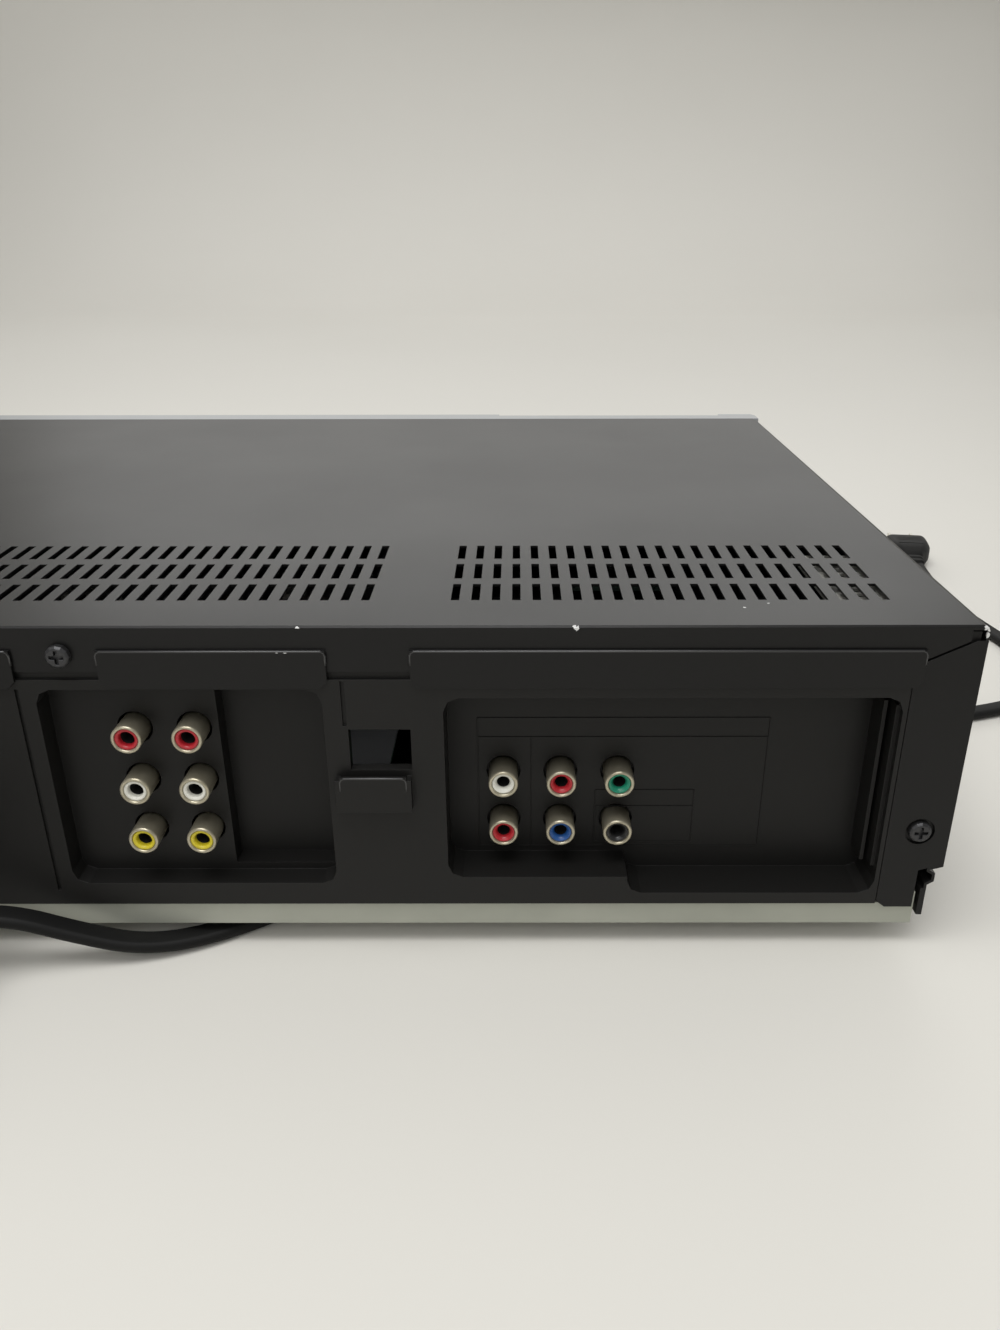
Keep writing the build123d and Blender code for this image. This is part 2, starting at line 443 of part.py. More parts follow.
parts["key_board"] = Compound(children=[keys, keys_left])
tuner = block(AERIAL_X - 22.0, AERIAL_X + 22.0, 104.0, RECESS_Y - RECESS_WALL - 0.2, 16.0, 74.0)
for z in AERIAL_ZS:
    thread = rod_y(AERIAL_X, z, RECESS_Y - RECESS_WALL - 0.5, RECESS_Y + 9.0, AERIAL_R, 16)
    thread = thread - rod_y(AERIAL_X, z, RECESS_Y + 2.0, RECESS_Y + 10, 2.6, 12)
    tuner = tuner + thread
parts["tuner_can"] = tuner

# ---------------------------------------------------------------- disc loader
# Moulded frame, the tray that slides in it, its rack and pinion drive, the tilting
# traverse with turntable and pickup, and the clamp on a steel bridge.
LOADER_BASE = 41.0
TRAY_LOW = 63.3
TRAY_T = 7.0
TRAY_HALF = 66.0
TRAY_BACK = 45.0
TRAY_FRONT = FRONT_Y + 3.2
SPINDLE_Y = -60.0
DISC_R = 60.6
SLOT_HALF = 19.0
WELL_D = 3.0
FRAME_HALF = 70.5
PIVOT_Y = 41.0             # the traverse tilts about a rod here
PIVOT_Z = 46.5
PIVOT_R = 1.95
LOADER_FRONT = FRONT_Y + 19.1
frame = block(DISC_X - FRAME_HALF, DISC_X + FRAME_HALF, LOADER_FRONT, 54.0, LOADER_BASE, LOADER_BASE + 2.2)
frame = frame - block(DISC_X - 53.0, DISC_X + 53.0, -97.0, 46.0, LOADER_BASE - 1, LOADER_BASE + 4)
for sx in (-1, 1):
    wall = block(DISC_X + sx * FRAME_HALF - 1.1, DISC_X + sx * FRAME_HALF + 1.1, LOADER_FRONT, 54.0, LOADER_BASE, 84.0)
    inner = DISC_X + sx * (TRAY_HALF - 2.0)
    outer = DISC_X + sx * (FRAME_HALF - 0.5)
    rail = block(min(inner, outer), max(inner, outer), LOADER_FRONT, 54.0, TRAY_LOW - AIR - 2.0, TRAY_LOW - AIR)
    frame = frame + wall + rail
    for y in (-110.0, -30.0, 40.0):
        tab = block(min(inner, outer), max(inner, outer), y - 5, y + 5, TRAY_LOW + TRAY_T + AIR, TRAY_LOW + TRAY_T + AIR + 1.8)
        frame = frame + tab
frame = frame + block(DISC_X - FRAME_HALF, DISC_X + FRAME_HALF, 52.0, 54.0, LOADER_BASE, 60.0)
for sx in (-1, 1):
    x0, x1 = sorted((DISC_X + sx * 34.0, DISC_X + sx * 43.0))
    frame = frame + block(x0, x1, PIVOT_Y - 4, 53.0, LOADER_BASE, PIVOT_Z + 4)
frame = frame - rod_x(PIVOT_Y, PIVOT_Z, DISC_X - 50, DISC_X + 50, PIVOT_R + RUN)
for x in (DISC_X - 60.0, DISC_X + 60.0):
    for y in (LOADER_FRONT + 8.0, 48.0):
        frame = frame + block(x - 4, x + 4, y - 4, y + 4, BOARD_TOP + GAP, LOADER_BASE + 0.5)
GEAR_R = GEAR_MODULE * GEAR_TEETH / 2
RACK_PITCH_X = DISC_X - 58.0
GEAR_X = RACK_PITCH_X + GEAR_R
GEAR_Y = FRONT_Y + 33.1
frame = frame + rod_z(GEAR_X, GEAR_Y, LOADER_BASE, 57.0, 2.0)
MOTOR_X = GEAR_X + 34.0
frame = frame - rod_z(MOTOR_X, GEAR_Y, LOADER_BASE - 1, LOADER_BASE + 4, 11.6)
parts["loader_frame"] = frame

tray = block(DISC_X - TRAY_HALF, DISC_X + TRAY_HALF, TRAY_FRONT, TRAY_BACK, TRAY_LOW, TRAY_LOW + TRAY_T)
tray = tray - rod_z(DISC_X, SPINDLE_Y, TRAY_LOW + TRAY_T - WELL_D, 90, DISC_R)
tray = tray - rod_z(DISC_X, SPINDLE_Y, TRAY_LOW + TRAY_T - WELL_D - 1.2, 90, 40.6)
tray = tray - rod_z(DISC_X, SPINDLE_Y, TRAY_LOW - 1, 90, SLOT_HALF)
tray = tray - block(DISC_X - SLOT_HALF, DISC_X + SLOT_HALF, SPINDLE_Y, TRAY_BACK + 1, TRAY_LOW - 1, 90)
root_half, pitch_half, tip_half = tooth_outline(GEAR_MODULE)
rack_root = RACK_PITCH_X - 1.25 * GEAR_MODULE
rack_tip = RACK_PITCH_X + 0.9 * GEAR_MODULE
RACK_Z0 = 58.2
RACK_TEETH = 52
pitch = math.pi * GEAR_MODULE
rack_start = GEAR_Y - 2 * pitch
outline = [(rack_root - 2.4, rack_start - pitch / 2)]
for i in range(RACK_TEETH):
    y = rack_start + i * pitch
    outline += [(rack_root, y - root_half), (rack_tip, y - tip_half), (rack_tip, y + tip_half), (rack_root, y + root_half)]
outline.append((rack_root - 2.4, rack_start + (RACK_TEETH - 0.5) * pitch))
outline[0] = (rack_root - 2.4, rack_start - root_half)
tray = tray + prism_z(outline, RACK_Z0, TRAY_LOW + 0.5)
parts["disc_tray"] = tray
front = rounded_y(TRAY_DOOR[0], TRAY_DOOR[1], TRAY_DOOR[2], TRAY_DOOR[3], FRONT_Y - 0.6, FRONT_Y + 1.0, 0.9)
front = front + block(DISC_X - 55, DISC_X + 55, FRONT_Y + 0.8, FRONT_Y + 3.15, TRAY_LOW + 0.5, TRAY_LOW + TRAY_T - 0.5)
parts["tray_door"] = front


def pinion(x, y, teeth, z0, z1):
    """A spur gear with a gap centred on the -X direction, to mesh with the rack."""
    radius = GEAR_MODULE * teeth / 2
    points = []
    for i in range(teeth):
        middle = math.pi + (i + 0.5) * 2 * math.pi / teeth
        for r, half in ((radius - 1.2, root_half - 0.15), (radius + 0.9, tip_half - 0.1)):
            points.append((r, middle - half / r))
        for r, half in ((radius + 0.9, tip_half - 0.1), (radius - 1.2, root_half - 0.15)):
            points.append((r, middle + half / r))
    return prism_z([(x + r * math.cos(a), y + r * math.sin(a)) for r, a in points], z0, z1)


gear = pinion(GEAR_X, GEAR_Y, GEAR_TEETH, 58.0, 62.8)
gear = gear + rod_z(GEAR_X, GEAR_Y, 50.0, 58.1, 7.0, 12)
for z0, z1 in ((50.0, 51.0), (56.0, 57.0)):
    gear = gear + rod_z(GEAR_X, GEAR_Y, z0, z1, 12.0, 24)
gear = gear + rod_z(GEAR_X, GEAR_Y, 51.0, 56.0, 11.0, 24)
parts["tray_gear"] = gear - rod_z(GEAR_X, GEAR_Y, 49.0, 57.3, 2.0 + RUN)
motor = rod_z(MOTOR_X, GEAR_Y, 36.0, 49.0, 11.0, 24) + rod_z(MOTOR_X, GEAR_Y, 48.9, 56.0, 1.0)
parts["tray_motor"] = motor
pulley = rod_z(MOTOR_X, GEAR_Y, 50.0, 51.0, 4.4, 16) + rod_z(MOTOR_X, GEAR_Y, 50.9, 56.1, 3.4, 16)
pulley = pulley + rod_z(MOTOR_X, GEAR_Y, 56.0, 57.0, 4.4, 16) - rod_z(MOTOR_X, GEAR_Y, 49.0, 56.05, 1.0 + RUN)
parts["motor_pulley"] = pulley
spread = MOTOR_X - GEAR_X


def belt_outline(r_gear, r_motor):
    """The outline of a belt round the two pulleys."""
    lean = math.asin((r_gear - r_motor) / spread)
    c, s = math.cos(lean), math.sin(lean)
    top_g = (GEAR_X + r_gear * s, GEAR_Y + r_gear * c)
    top_m = (MOTOR_X + r_motor * s, GEAR_Y + r_motor * c)
    low_g = (top_g[0], 2 * GEAR_Y - top_g[1])
    low_m = (top_m[0], 2 * GEAR_Y - top_m[1])
    edges = [Line(top_g, top_m), ThreePointArc(top_m, (MOTOR_X + r_motor, GEAR_Y), low_m), Line(low_m, low_g),
             ThreePointArc(low_g, (GEAR_X - r_gear, GEAR_Y), top_g)]
    return make_face(Curve() + edges)


belt = extrude(Pos(0, 0, 52.0) * belt_outline(12.3, 4.7), 3.0) - extrude(Pos(0, 0, 51.5) * belt_outline(11.3, 3.7), 4.0)
parts["tray_belt"] = belt

# traverse: tilts about a rod at its rear end
TRAV_LOW = 49.0
TRAV_TOP = 54.0
SLED_HALF = 27.0
trav = block(DISC_X - 48.0, DISC_X + 48.0, -94.0, 36.0, TRAV_LOW, TRAV_TOP)
trav = trav - block(DISC_X - 35.0, DISC_X + 35.0, -38.0, 26.0, TRAV_LOW - 1, TRAV_TOP + 1)
trav = trav + block(DISC_X - 33.0, DISC_X + 33.0, 33.0, PIVOT_Y + 3.5, PIVOT_Z - 3.5, TRAV_LOW + 1.5)
trav = trav - block(DISC_X - 20.0, DISC_X + 20.0, 35.5, PIVOT_Y + 5, PIVOT_Z - 4, TRAV_TOP + 1)
trav = trav - rod_x(PIVOT_Y, PIVOT_Z, DISC_X - 50, DISC_X + 50, PIVOT_R + 0.01)
trav = trav - rod_z(DISC_X, SPINDLE_Y, TRAV_LOW - 1, TRAV_TOP + 1, 3.2)
for x in (-24.0, 18.0):
    for y in (-42.0, 30.0):
        trav = trav + block(DISC_X + x - 3, DISC_X + x + 3, y - 3.9, y + 3.9, TRAV_TOP - 0.2, 59.0)
ROD_Z = 57.0
ROD_R = 1.5
rods = []
for x in (-24.0, 18.0):
    rods.append(rod_y(DISC_X + x, ROD_Z, -45.0, 33.0, ROD_R))
    trav = trav - rod_y(DISC_X + x, ROD_Z, -50, 40, (ROD_R + 0.02) / math.cos(math.pi / 8), 8)
SCREW_X = DISC_X + 30.0
for y in (-42.0, 30.0):
    trav = trav + block(SCREW_X - 3, SCREW_X + 3, y - 3.9, y + 3.9, TRAV_TOP - 0.2, 59.0)
trav = trav - rod_y(SCREW_X, ROD_Z, -50, 40, 1.2 / math.cos(math.pi / 8), 8)
parts["traverse_frame"] = trav
parts["guide_rods"] = Compound(children=rods + [rod_x(PIVOT_Y, PIVOT_Z, DISC_X - 43.0, DISC_X + 43.0, PIVOT_R)])
feed = rod_y(SCREW_X, ROD_Z, -37.8, 25.8, 2.0) + rod_y(SCREW_X, ROD_Z, -45.0, 33.0, 1.2 - RUN)
parts["feed_screw"] = feed
sled = block(DISC_X - SLED_HALF, DISC_X + 24.0, -36.0, -6.0, 54.5, 60.0)
sled = sled + rod_z(DISC_X, -26.0, 59.9, 62.4, 9.0, 16) + block(DISC_X + 23.0, DISC_X + 27.4, -26.0, -18.0, 55.0, 59.0)
for x in (-24.0, 18.0):
    sled = sled - rod_y(DISC_X + x, ROD_Z, -40, 0, (ROD_R + RUN) / math.cos(math.pi / 8), 8)
sled = sled - rod_z(DISC_X, -26.0, 61.2, 63, 4.6, 16)
lens = rod_z(DISC_X, -26.0, 61.25, 62.4, 4.2, 16)
lens = chamfer(lens.edges().group_by(Axis.Z)[-1], 1.0)
parts["pickup_sled"] = Compound(children=[sled, lens])
table = rod_z(DISC_X, SPINDLE_Y, TRAV_TOP + 0.4, 62.0, 12.5, 24) + rod_z(DISC_X, SPINDLE_Y, 61.9, 68.4, 5.0, 12)
table = table + rod_z(DISC_X, SPINDLE_Y, 66.4, 68.6, 15.0, 32) + rod_z(DISC_X, SPINDLE_Y, TRAV_LOW - 2, TRAV_TOP + 0.6, 3.1)
cone = Pos(DISC_X, SPINDLE_Y, 69.7) * Cone(7.2, 5.6, 2.4)
parts["turntable"] = table + cone
BRIDGE_Z = 78.0
bridge = block(DISC_X - FRAME_HALF - 1.1, DISC_X + FRAME_HALF + 1.1, SPINDLE_Y - 17, SPINDLE_Y + 17, 84.2, 85.2)
bridge = bridge + block(DISC_X - 21, DISC_X + 21, SPINDLE_Y - 15, SPINDLE_Y + 15, BRIDGE_Z, BRIDGE_Z + 1.0)
for sx in (-1, 1):
    x0, x1 = sorted((DISC_X + sx * 20.0, DISC_X + sx * 21.0))
    bridge = bridge + block(x0, x1, SPINDLE_Y - 15, SPINDLE_Y + 15, BRIDGE_Z, 85.0)
bridge = bridge - block(DISC_X - 20, DISC_X + 20, SPINDLE_Y - 20, SPINDLE_Y + 20, BRIDGE_Z + 1.0, 90)
bridge = bridge - rod_z(DISC_X, SPINDLE_Y, BRIDGE_Z - 1, BRIDGE_Z + 2, 10.1, 24)
parts["clamp_bridge"] = bridge
clamp = rod_z(DISC_X, SPINDLE_Y, 72.2, 76.5, 15.5, 32) + rod_z(DISC_X, SPINDLE_Y, 76.4, 80.1, 9.4)
clamp = clamp + rod_z(DISC_X, SPINDLE_Y, 80.0, 81.5, 13.0, 24) - rod_z(DISC_X, SPINDLE_Y, 70.0, 74.2, 8.4, 24)
parts["disc_clamp"] = clamp

# ---------------------------------------------------------------- cassette deck
DECK_Z = 30.0
DECK_T = 1.2
DRUM_Y = 66.0
DRUM_R = 31.0
deck = block(VCR_X - 101.0, VCR_X + 101.0, -118.0, 102.5, DECK_Z, DECK_Z + DECK_T)
deck = deck - rod_z(VCR_X, DRUM_Y, DECK_Z - 1, DECK_Z + 3, DRUM_R + 2.0)
GUIDE_START = (30.0, 4.0)
GUIDE_END = (38.0, 44.0)
CAPSTAN = (VCR_X + 62.0, 22.0)
REEL_X = 46.0
REEL_Y = -34.0
for sx in (-1, 1):
    path = make_face(Polyline(*[(VCR_X + sx * x, y, DECK_Z - 1) for x, y in
                                ((GUIDE_START[0] - 2.4, GUIDE_START[1] - 3), (GUIDE_START[0] + 2.4, GUIDE_START[1] - 3),
                                 (GUIDE_END[0] + 2.4, GUIDE_END[1] + 3), (GUIDE_END[0] - 2.4, GUIDE_END[1] + 3))], close=True))
    deck = deck - extrude(path, 4, dir=(0, 0, 1))
    deck = deck + rod_z(VCR_X + sx * REEL_X, REEL_Y, DECK_Z, DECK_Z + 12.0, 2.5)
deck = deck - rod_z(CAPSTAN[0], CAPSTAN[1], DECK_Z - 1, DECK_Z + 3, 4.0)
for x in (-96.0, 96.0):
    for y in (-112.0, 90.0):
        deck = deck + block(VCR_X + x - 4, VCR_X + x + 4, y - 4, y + 4, FLOOR_Z + RAIL_H + GAP, DECK_Z + 0.2)
PINCH_ARM = 23.5
PIVOT = (CAPSTAN[0] + 12.0, CAPSTAN[1] + 28.2)
deck = deck + rod_z(PIVOT[0], PIVOT[1], DECK_Z, 44.0, 2.0)
parts["deck_plate"] = deck

DRUM_TILT = 5.0
tilt = Pos(VCR_X, DRUM_Y, 40.0) * Rot(0, DRUM_TILT, 0)
lower = tilt * (Pos(0, 0, -6.5) * rod(DRUM_R - 0.2, 15.0, 48) + Pos(0, 0, -10.0) * rod(DRUM_R + 0.3, 5.0, 48))
lower = lower - tilt * Pos(0, 0, -2) * Cylinder(3.2, 30)
parts["lower_drum"] = lower
upper = tilt * (Pos(0, 0, 9.0) * rod(DRUM_R - 0.2, 15.2, 48) + Pos(0, 0, -2.0) * Cylinder(3.15, 22.0))
upper = upper + tilt * (Pos(0, 0, 18.0) * rod(11.0, 4.0, 24))
for sx in (-1, 1):
    upper = upper + tilt * (Pos(sx * (DRUM_R - 0.6), 0, 2.4) * Box(1.6, 2.2, 1.4))
parts["upper_drum"] = upper
capstan = rod_z(CAPSTAN[0], CAPSTAN[1], 17.0, 26.0, 26.0, 40) + rod_z(CAPSTAN[0], CAPSTAN[1], 25.0, 58.0, 1.5)
parts["capstan"] = capstan - rod_z(CAPSTAN[0], CAPSTAN[1], 16.0, 20.0, 18.0, 24)
PINCH_OPEN = 18.6
PINCH_STOP = 8.0
span = math.hypot(CAPSTAN[0] - PIVOT[0], CAPSTAN[1] - PIVOT[1])
toward = math.atan2(CAPSTAN[1] - PIVOT[1], CAPSTAN[0] - PIVOT[0])
contact = toward + math.acos((span**2 + PINCH_ARM**2 - PINCH_STOP**2) / (2 * span * PINCH_ARM))
rest = contact + math.radians(PINCH_OPEN)
roller_at = (PIVOT[0] + PINCH_ARM * math.cos(rest), PIVOT[1] + PINCH_ARM * math.sin(rest))
middle = ((PIVOT[0] + roller_at[0]) / 2, (PIVOT[1] + roller_at[1]) / 2)
bar = Pos(middle[0], middle[1], 38.5) * Rot(0, 0, math.degrees(rest)) * Box(PINCH_ARM, 6.0, 2.0)
arm = bar + rod_z(PIVOT[0], PIVOT[1], 36.0, 43.0, 4.5, 16) + rod_z(roller_at[0], roller_at[1], 37.5, 39.5, 4.0, 12)
arm = arm + rod_z(roller_at[0], roller_at[1], 39.0, 54.0, 1.5) - rod_z(PIVOT[0], PIVOT[1], 30, 50, 2.0 + RUN)
parts["pinch_arm"] = arm
roller = rod_z(roller_at[0], roller_at[1], 40.0, 53.0, 6.2) - rod_z(roller_at[0], roller_at[1], 39.0, 55.0, 1.5 + RUN)
parts["pinch_roller"] = roller
for name, sx in (("supply_reel", -1), ("takeup_reel", 1)):
    x = VCR_X + sx * REEL_X
    reel = rod_z(x, REEL_Y, DECK_Z + DECK_T + AIR, 35.5, 20.0, 32) + rod_z(x, REEL_Y, 35.4, 45.0, 5.6, 12)
    for k in range(3):
        reel = reel + Pos(x, REEL_Y, 41.0) * Rot(0, 0, 120 * k) * Pos(6.0, 0, 0) * Box(3.4, 1.6, 7.0)
    parts[name] = reel - rod_z(x, REEL_Y, DECK_Z, DECK_Z + 12.5, 2.5 + RUN)
for name, sx in (("supply_guide", -1), ("takeup_guide", 1)):
    x = VCR_X + sx * GUIDE_START[0]
    base = block(x - 4.5, x + 4.5, GUIDE_START[1] - 5, GUIDE_START[1] + 4, DECK_Z + DECK_T + AIR, 35.0)
    base = base + rod_z(x, GUIDE_START[1], 27.0, 33.0, 1.6, 8) + rod_z(x, GUIDE_START[1] - 0.5, 34.9, 54.0, 2.6, 16)
    parts[name] = base + rod_z(x, GUIDE_START[1] - 0.5, 54.0, 55.5, 3.6, 16)
heads = [block(VCR_X - 55, VCR_X - 46, 29.0, 37.0, DECK_Z + DECK_T + 0.1, 52.0),
         block(VCR_X + 44, VCR_X + 53, 30.0, 37.5, DECK_Z + DECK_T + 0.1, 52.0)]
parts["tape_heads"] = Compound(children=heads)

HOLDER_BACK = -4.0
HOLDER_FRONT = -108.0
HOLDER_HALF = 96.0
HOLDER_LOW = 58.0
HOLDER_TOP = 85.6
holder = block(VCR_X - HOLDER_HALF, VCR_X + HOLDER_HALF, HOLDER_FRONT, HOLDER_BACK, HOLDER_TOP - 0.8, HOLDER_TOP)
holder = holder - block(VCR_X - 50, VCR_X + 50, HOLDER_FRONT + 30, HOLDER_BACK - 20, HOLDER_TOP - 2, HOLDER_TOP + 2)
for sx in (-1, 1):
    wall = block(VCR_X + sx * HOLDER_HALF - 0.4, VCR_X + sx * HOLDER_HALF + 0.4, HOLDER_FRONT, HOLDER_BACK, HOLDER_LOW,
                 HOLDER_TOP)
    x0, x1 = sorted((VCR_X + sx * (HOLDER_HALF - 12), VCR_X + sx * HOLDER_HALF))
    holder = holder + wall + block(x0, x1, HOLDER_FRONT, HOLDER_BACK, HOLDER_LOW, HOLDER_LOW + 0.8)
parts["cassette_holder"] = holder
carriage = []
for sx in (-1, 1):
    x0, x1 = sorted((VCR_X + sx * (HOLDER_HALF + 1.0), VCR_X + sx * (HOLDER_HALF + 2.2)))
    side = block(x0, x1, -88.0, -24.0, 62.0, 84.0)
    carriage.append(side)
parts["holder_carriage"] = Compound(children=carriage)
brackets = []
for sx in (-1, 1):
    x0, x1 = sorted((VCR_X + sx * (HOLDER_HALF + 2.8), VCR_X + sx * (HOLDER_HALF + 4.2)))
    side = block(x0, x1, -112.0, 34.0, DECK_Z + DECK_T + 0.05, 88.0)
    brackets.append(side)
parts["holder_brackets"] = Compound(children=brackets)

# cassette door, hinged behind its top edge, with a torsion spring on one of its pins
door = rounded_y(CASSETTE[0] + 0.5, CASSETTE[1] - 0.5, CASSETTE[2] + 0.5, CASSETTE[3] - 0.5, FRONT_Y + 0.4, FRONT_Y + 2.4, 1.2)
for sx in (-1, 1):
    x0, x1 = sorted((VCR_X + sx * 92.0, VCR_X + sx * 96.0))
    door = door + block(x0, x1, FRONT_Y + 2.2, HINGE_Y + 2.2, HINGE_Z - 2.2, HINGE_Z + 2.2)
    x0, x1 = sorted((VCR_X + sx * 95.5, VCR_X + sx * (LUG_X + 2.4)))
    door = door + rod_x(HINGE_Y, HINGE_Z, x0, x1, PIN_R)
parts["cassette_door"] = door
coil_x = VCR_X + LUG_X - 3.3
spring = rod_x(HINGE_Y, HINGE_Z, coil_x, coil_x + 3.1, PIN_R + 0.6) - rod_x(HINGE_Y, HINGE_Z, coil_x - 1, coil_x + 4, PIN_R + 0.12)
parts["door_spring"] = spring

# ---------------------------------------------------------------- mains lead
# Flat two-core lead: strain relief, a lead down to a round coil, the coil of the
# put-away length, and the run under the machine to the plug.


def route(x, back, height):
    """A point given from the right end and the rear panel, as seen from behind."""
    return (-COVER_W / 2 - x, REAR_Y - back, height)


LEAD = [route(-272, -20.4, 32), route(-272, -42, 30), route(-275, -65, 20), route(-287, -84, 8.5),
        route(-306, -94, 2.6), route(-328, -94, 2.4)]       # the last point is set to the coil's end
RUNS = [route(-328, -16, 0), route(-300, -15.5, 22.3), route(-276, -14, 20.8), route(-257, -9.5, 18.3), route(-240, -7.0, 10.0),
        route(-223.5, -4.8, 4.0), route(-206, 2.0, 2.4), route(-182, 18, 2.4), route(-144, 50, 2.4), route(-92, 82, 2.4),
        route(-30, 110, 2.4), route(34, 134, 2.4), route(84, 147, 2.4), route(106, 160, 2.4), route(118, 184, 2.4),
        route(119, 212, 2.4), route(114, 240, 2.4), route(108, 268, 4.0), route(106, 296, 7.4), route(110, 322, 7.4)]
COIL_R = 39.0
COIL_TURNS = 4.5
COIL_PITCH = 4.4
COIL_X, COIL_Y = route(-336, -55, 0)[:2]
COIL_LOW = 2.4


def bends(points):
    """The largest arc that the two runs beside each point allow."""
    radii = []
    for a, b, c in zip(points, points[1:], points[2:]):
        first, second = Vector(b) - Vector(a), Vector(c) - Vector(b)
        turn = math.radians(first.get_angle(second))
        radii.append(0.45 * min(first.length, second.length) / math.tan(turn / 2))
    return radii


def lead_section(at, along, upright=(0, 0, 1)):
    """The lead's flat section, square to its path."""
    across = Vector(*along).cross(Vector(*upright))
    plane = Plane(origin=at, x_dir=across, z_dir=along)
    half_w, half_t = CORD_W / 2, CORD_T / 2
    flat = Polygon((-half_w, -half_t), (half_w, -half_t), (half_w, half_t), (-half_w, half_t), align=None)
    return plane * flat


def lay(points):
    """A stretch of the lead along its points, with its length."""
    radii = bends(points)
    path = FilletPolyline(*points, radius=radii)
    start = Vector(points[1]) - Vector(points[0])
    solid = sweep(lead_section(points[0], tuple(start.normalized())), path=path)
    print("lead radii", [round(r, 1) for r in radii], "length", round(path.length, 1), "volume", round(solid.volume, 1))
    return solid, path.length


def turn_point(turns):
    """A point of the coil and its direction; it starts at the rear and runs clockwise seen from above."""
    angle = math.pi / 2 + 2 * math.pi * turns
    x = COIL_X - COIL_R * math.cos(angle)
    y = COIL_Y + COIL_R * math.sin(angle)
    heading = Vector(COIL_R * math.sin(angle), COIL_R * math.cos(angle), COIL_PITCH / (2 * math.pi))
    return Vector(x, y, COIL_LOW + COIL_PITCH * turns), heading.normalized()


def biarc(p1, t1, p2, t2):
    """Two arcs that meet smoothly and keep both end directions."""
    v, t = p2 - p1, t1 + t2
    k = 2 * (1 - t1.dot(t2))
    d = (-v.dot(t) + math.sqrt(v.dot(t) ** 2 + k * v.dot(v))) / k
    joint = (p1 + p2 + (t1 - t2) * d) * 0.5
    first = TangentArc(tuple(p1), tuple(joint), tangent=tuple(t1))
    second = TangentArc(tuple(joint), tuple(p2), tangent=tuple(first % 1))
    return [first, second]


coil_end, end_heading = turn_point(COIL_TURNS)
halves = int(COIL_TURNS * 2)
turns = []
for i in range(halves):
    (p1, t1), (p2, t2) = turn_point(i / 2), turn_point((i + 1) / 2)
    turns += biarc(p1, t1, p2, t2)
start_point, start_heading = turn_point(0)
lead_in = Line(tuple(start_point - start_heading * CORD_W), tuple(start_point))
lead_out = Line(tuple(coil_end), tuple(coil_end + end_heading * CORD_W))
coil_path = Wire([lead_in.edge()] + [t.edge() for t in turns] + [lead_out.edge()])
COIL_IN = start_point - start_heading * CORD_W
COIL_OUT = coil_end + end_heading * CORD_W
coil = sweep(lead_section(tuple(COIL_IN), tuple(start_heading)), path=coil_path)
samples = [turn_point(i / 60)[0] for i in range(int(COIL_TURNS * 60))]
nearest = min((a - b).length for i, a in enumerate(samples) for b in samples[i + 30:])
print("coil length", round(coil_path.length, 1), "volume", round(coil.volume, 1), "least gap", round(nearest - CORD_T, 2))
print("coil in", COIL_IN, "out", COIL_OUT, end_heading)
LEAD[-1] = tuple(COIL_IN)
LEAD[-2] = tuple(COIL_IN - start_heading * 22.0)
RUNS[0] = tuple(COIL_OUT)
RUNS[1] = tuple(COIL_OUT + end_heading * 24.0)
lead_solid, lead_length = lay(LEAD[::-1])
run_solid, run_length = lay(RUNS)
print("cord length", round(lead_length + coil_path.length + run_length, 1))
parts["cord_lead"] = lead_solid
parts["cord_coil"] = coil
parts["cord_run"] = run_solid
gland = rod_y(GLAND_X, GLAND_Z, REAR_Y - 5.0, REAR_Y + 0.05, GLAND_HOLE_R - 0.1, 16)
gland = gland + rod_y(GLAND_X, GLAND_Z, REAR_Y, REAR_Y + 2.0, 8.5, 16)
boot_foot = Plane.XZ.offset(-REAR_Y - 2.0) * Pos(GLAND_X, GLAND_Z) * RegularPolygon(6.0, 12)
boot_tip = Plane.XZ.offset(-REAR_Y - 20.0) * Pos(GLAND_X, GLAND_Z) * RegularPolygon(4.6, 12)
gland = gland + loft([boot_foot, boot_tip], ruled=True)
parts["cord_gland"] = gland

PLUG_START = Vector(*RUNS[-1])
aim = (PLUG_START - Vector(*RUNS[-2])).normalized()
plug_plane = Plane(origin=tuple(PLUG_START), x_dir=(aim.Y, -aim.X, 0), z_dir=tuple(aim))
PLUG_SECTIONS = ((0.1, 8.8, 5.4), (12.0, 10.6, 7.4), (15.0, 16.0, 11.2), (22.0, 23.0, 14.0), (36.0, 24.0, 14.0),
                 (38.0, 22.6, 12.4))


def plug_section(distance, width, thickness):
    """A section of the plug's body: a rectangle whose corners are cut."""
    w, t = width / 2, thickness / 2
    cut = 0.3 * thickness
    points = [(w, t - cut), (w - cut, t), (cut - w, t), (-w, t - cut), (-w, cut - t), (cut - w, -t), (w - cut, -t), (w, cut - t)]
    return plug_plane.offset(distance) * make_face(Polyline(*points, close=True))


body = None
for near, far in zip(PLUG_SECTIONS, PLUG_SECTIONS[1:]):
    stretch = loft([plug_section(*near), plug_section(*far)], ruled=True)
    body = stretch if body is None else body + stretch
blades = []
for sx in (-1, 1):
    blade = plug_plane * Pos(sx * 6.35, 0, 38.02 + 8.5) * Box(1.5, 6.35, 17.0)
    blades.append(blade - plug_plane * Pos(sx * 6.35, 0, 38.02 + 13.0) * Rot(0, 90, 0) * rod(1.6, 4.0, 8))
parts["mains_plug"] = Compound(children=body.solids() + blades)

os.makedirs("parts", exist_ok=True)
for name, solid in parts.items():
    export_step(solid, f"parts/{name}.step")
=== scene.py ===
import math

import bmesh
import bpy
from mathutils import Matrix, Vector


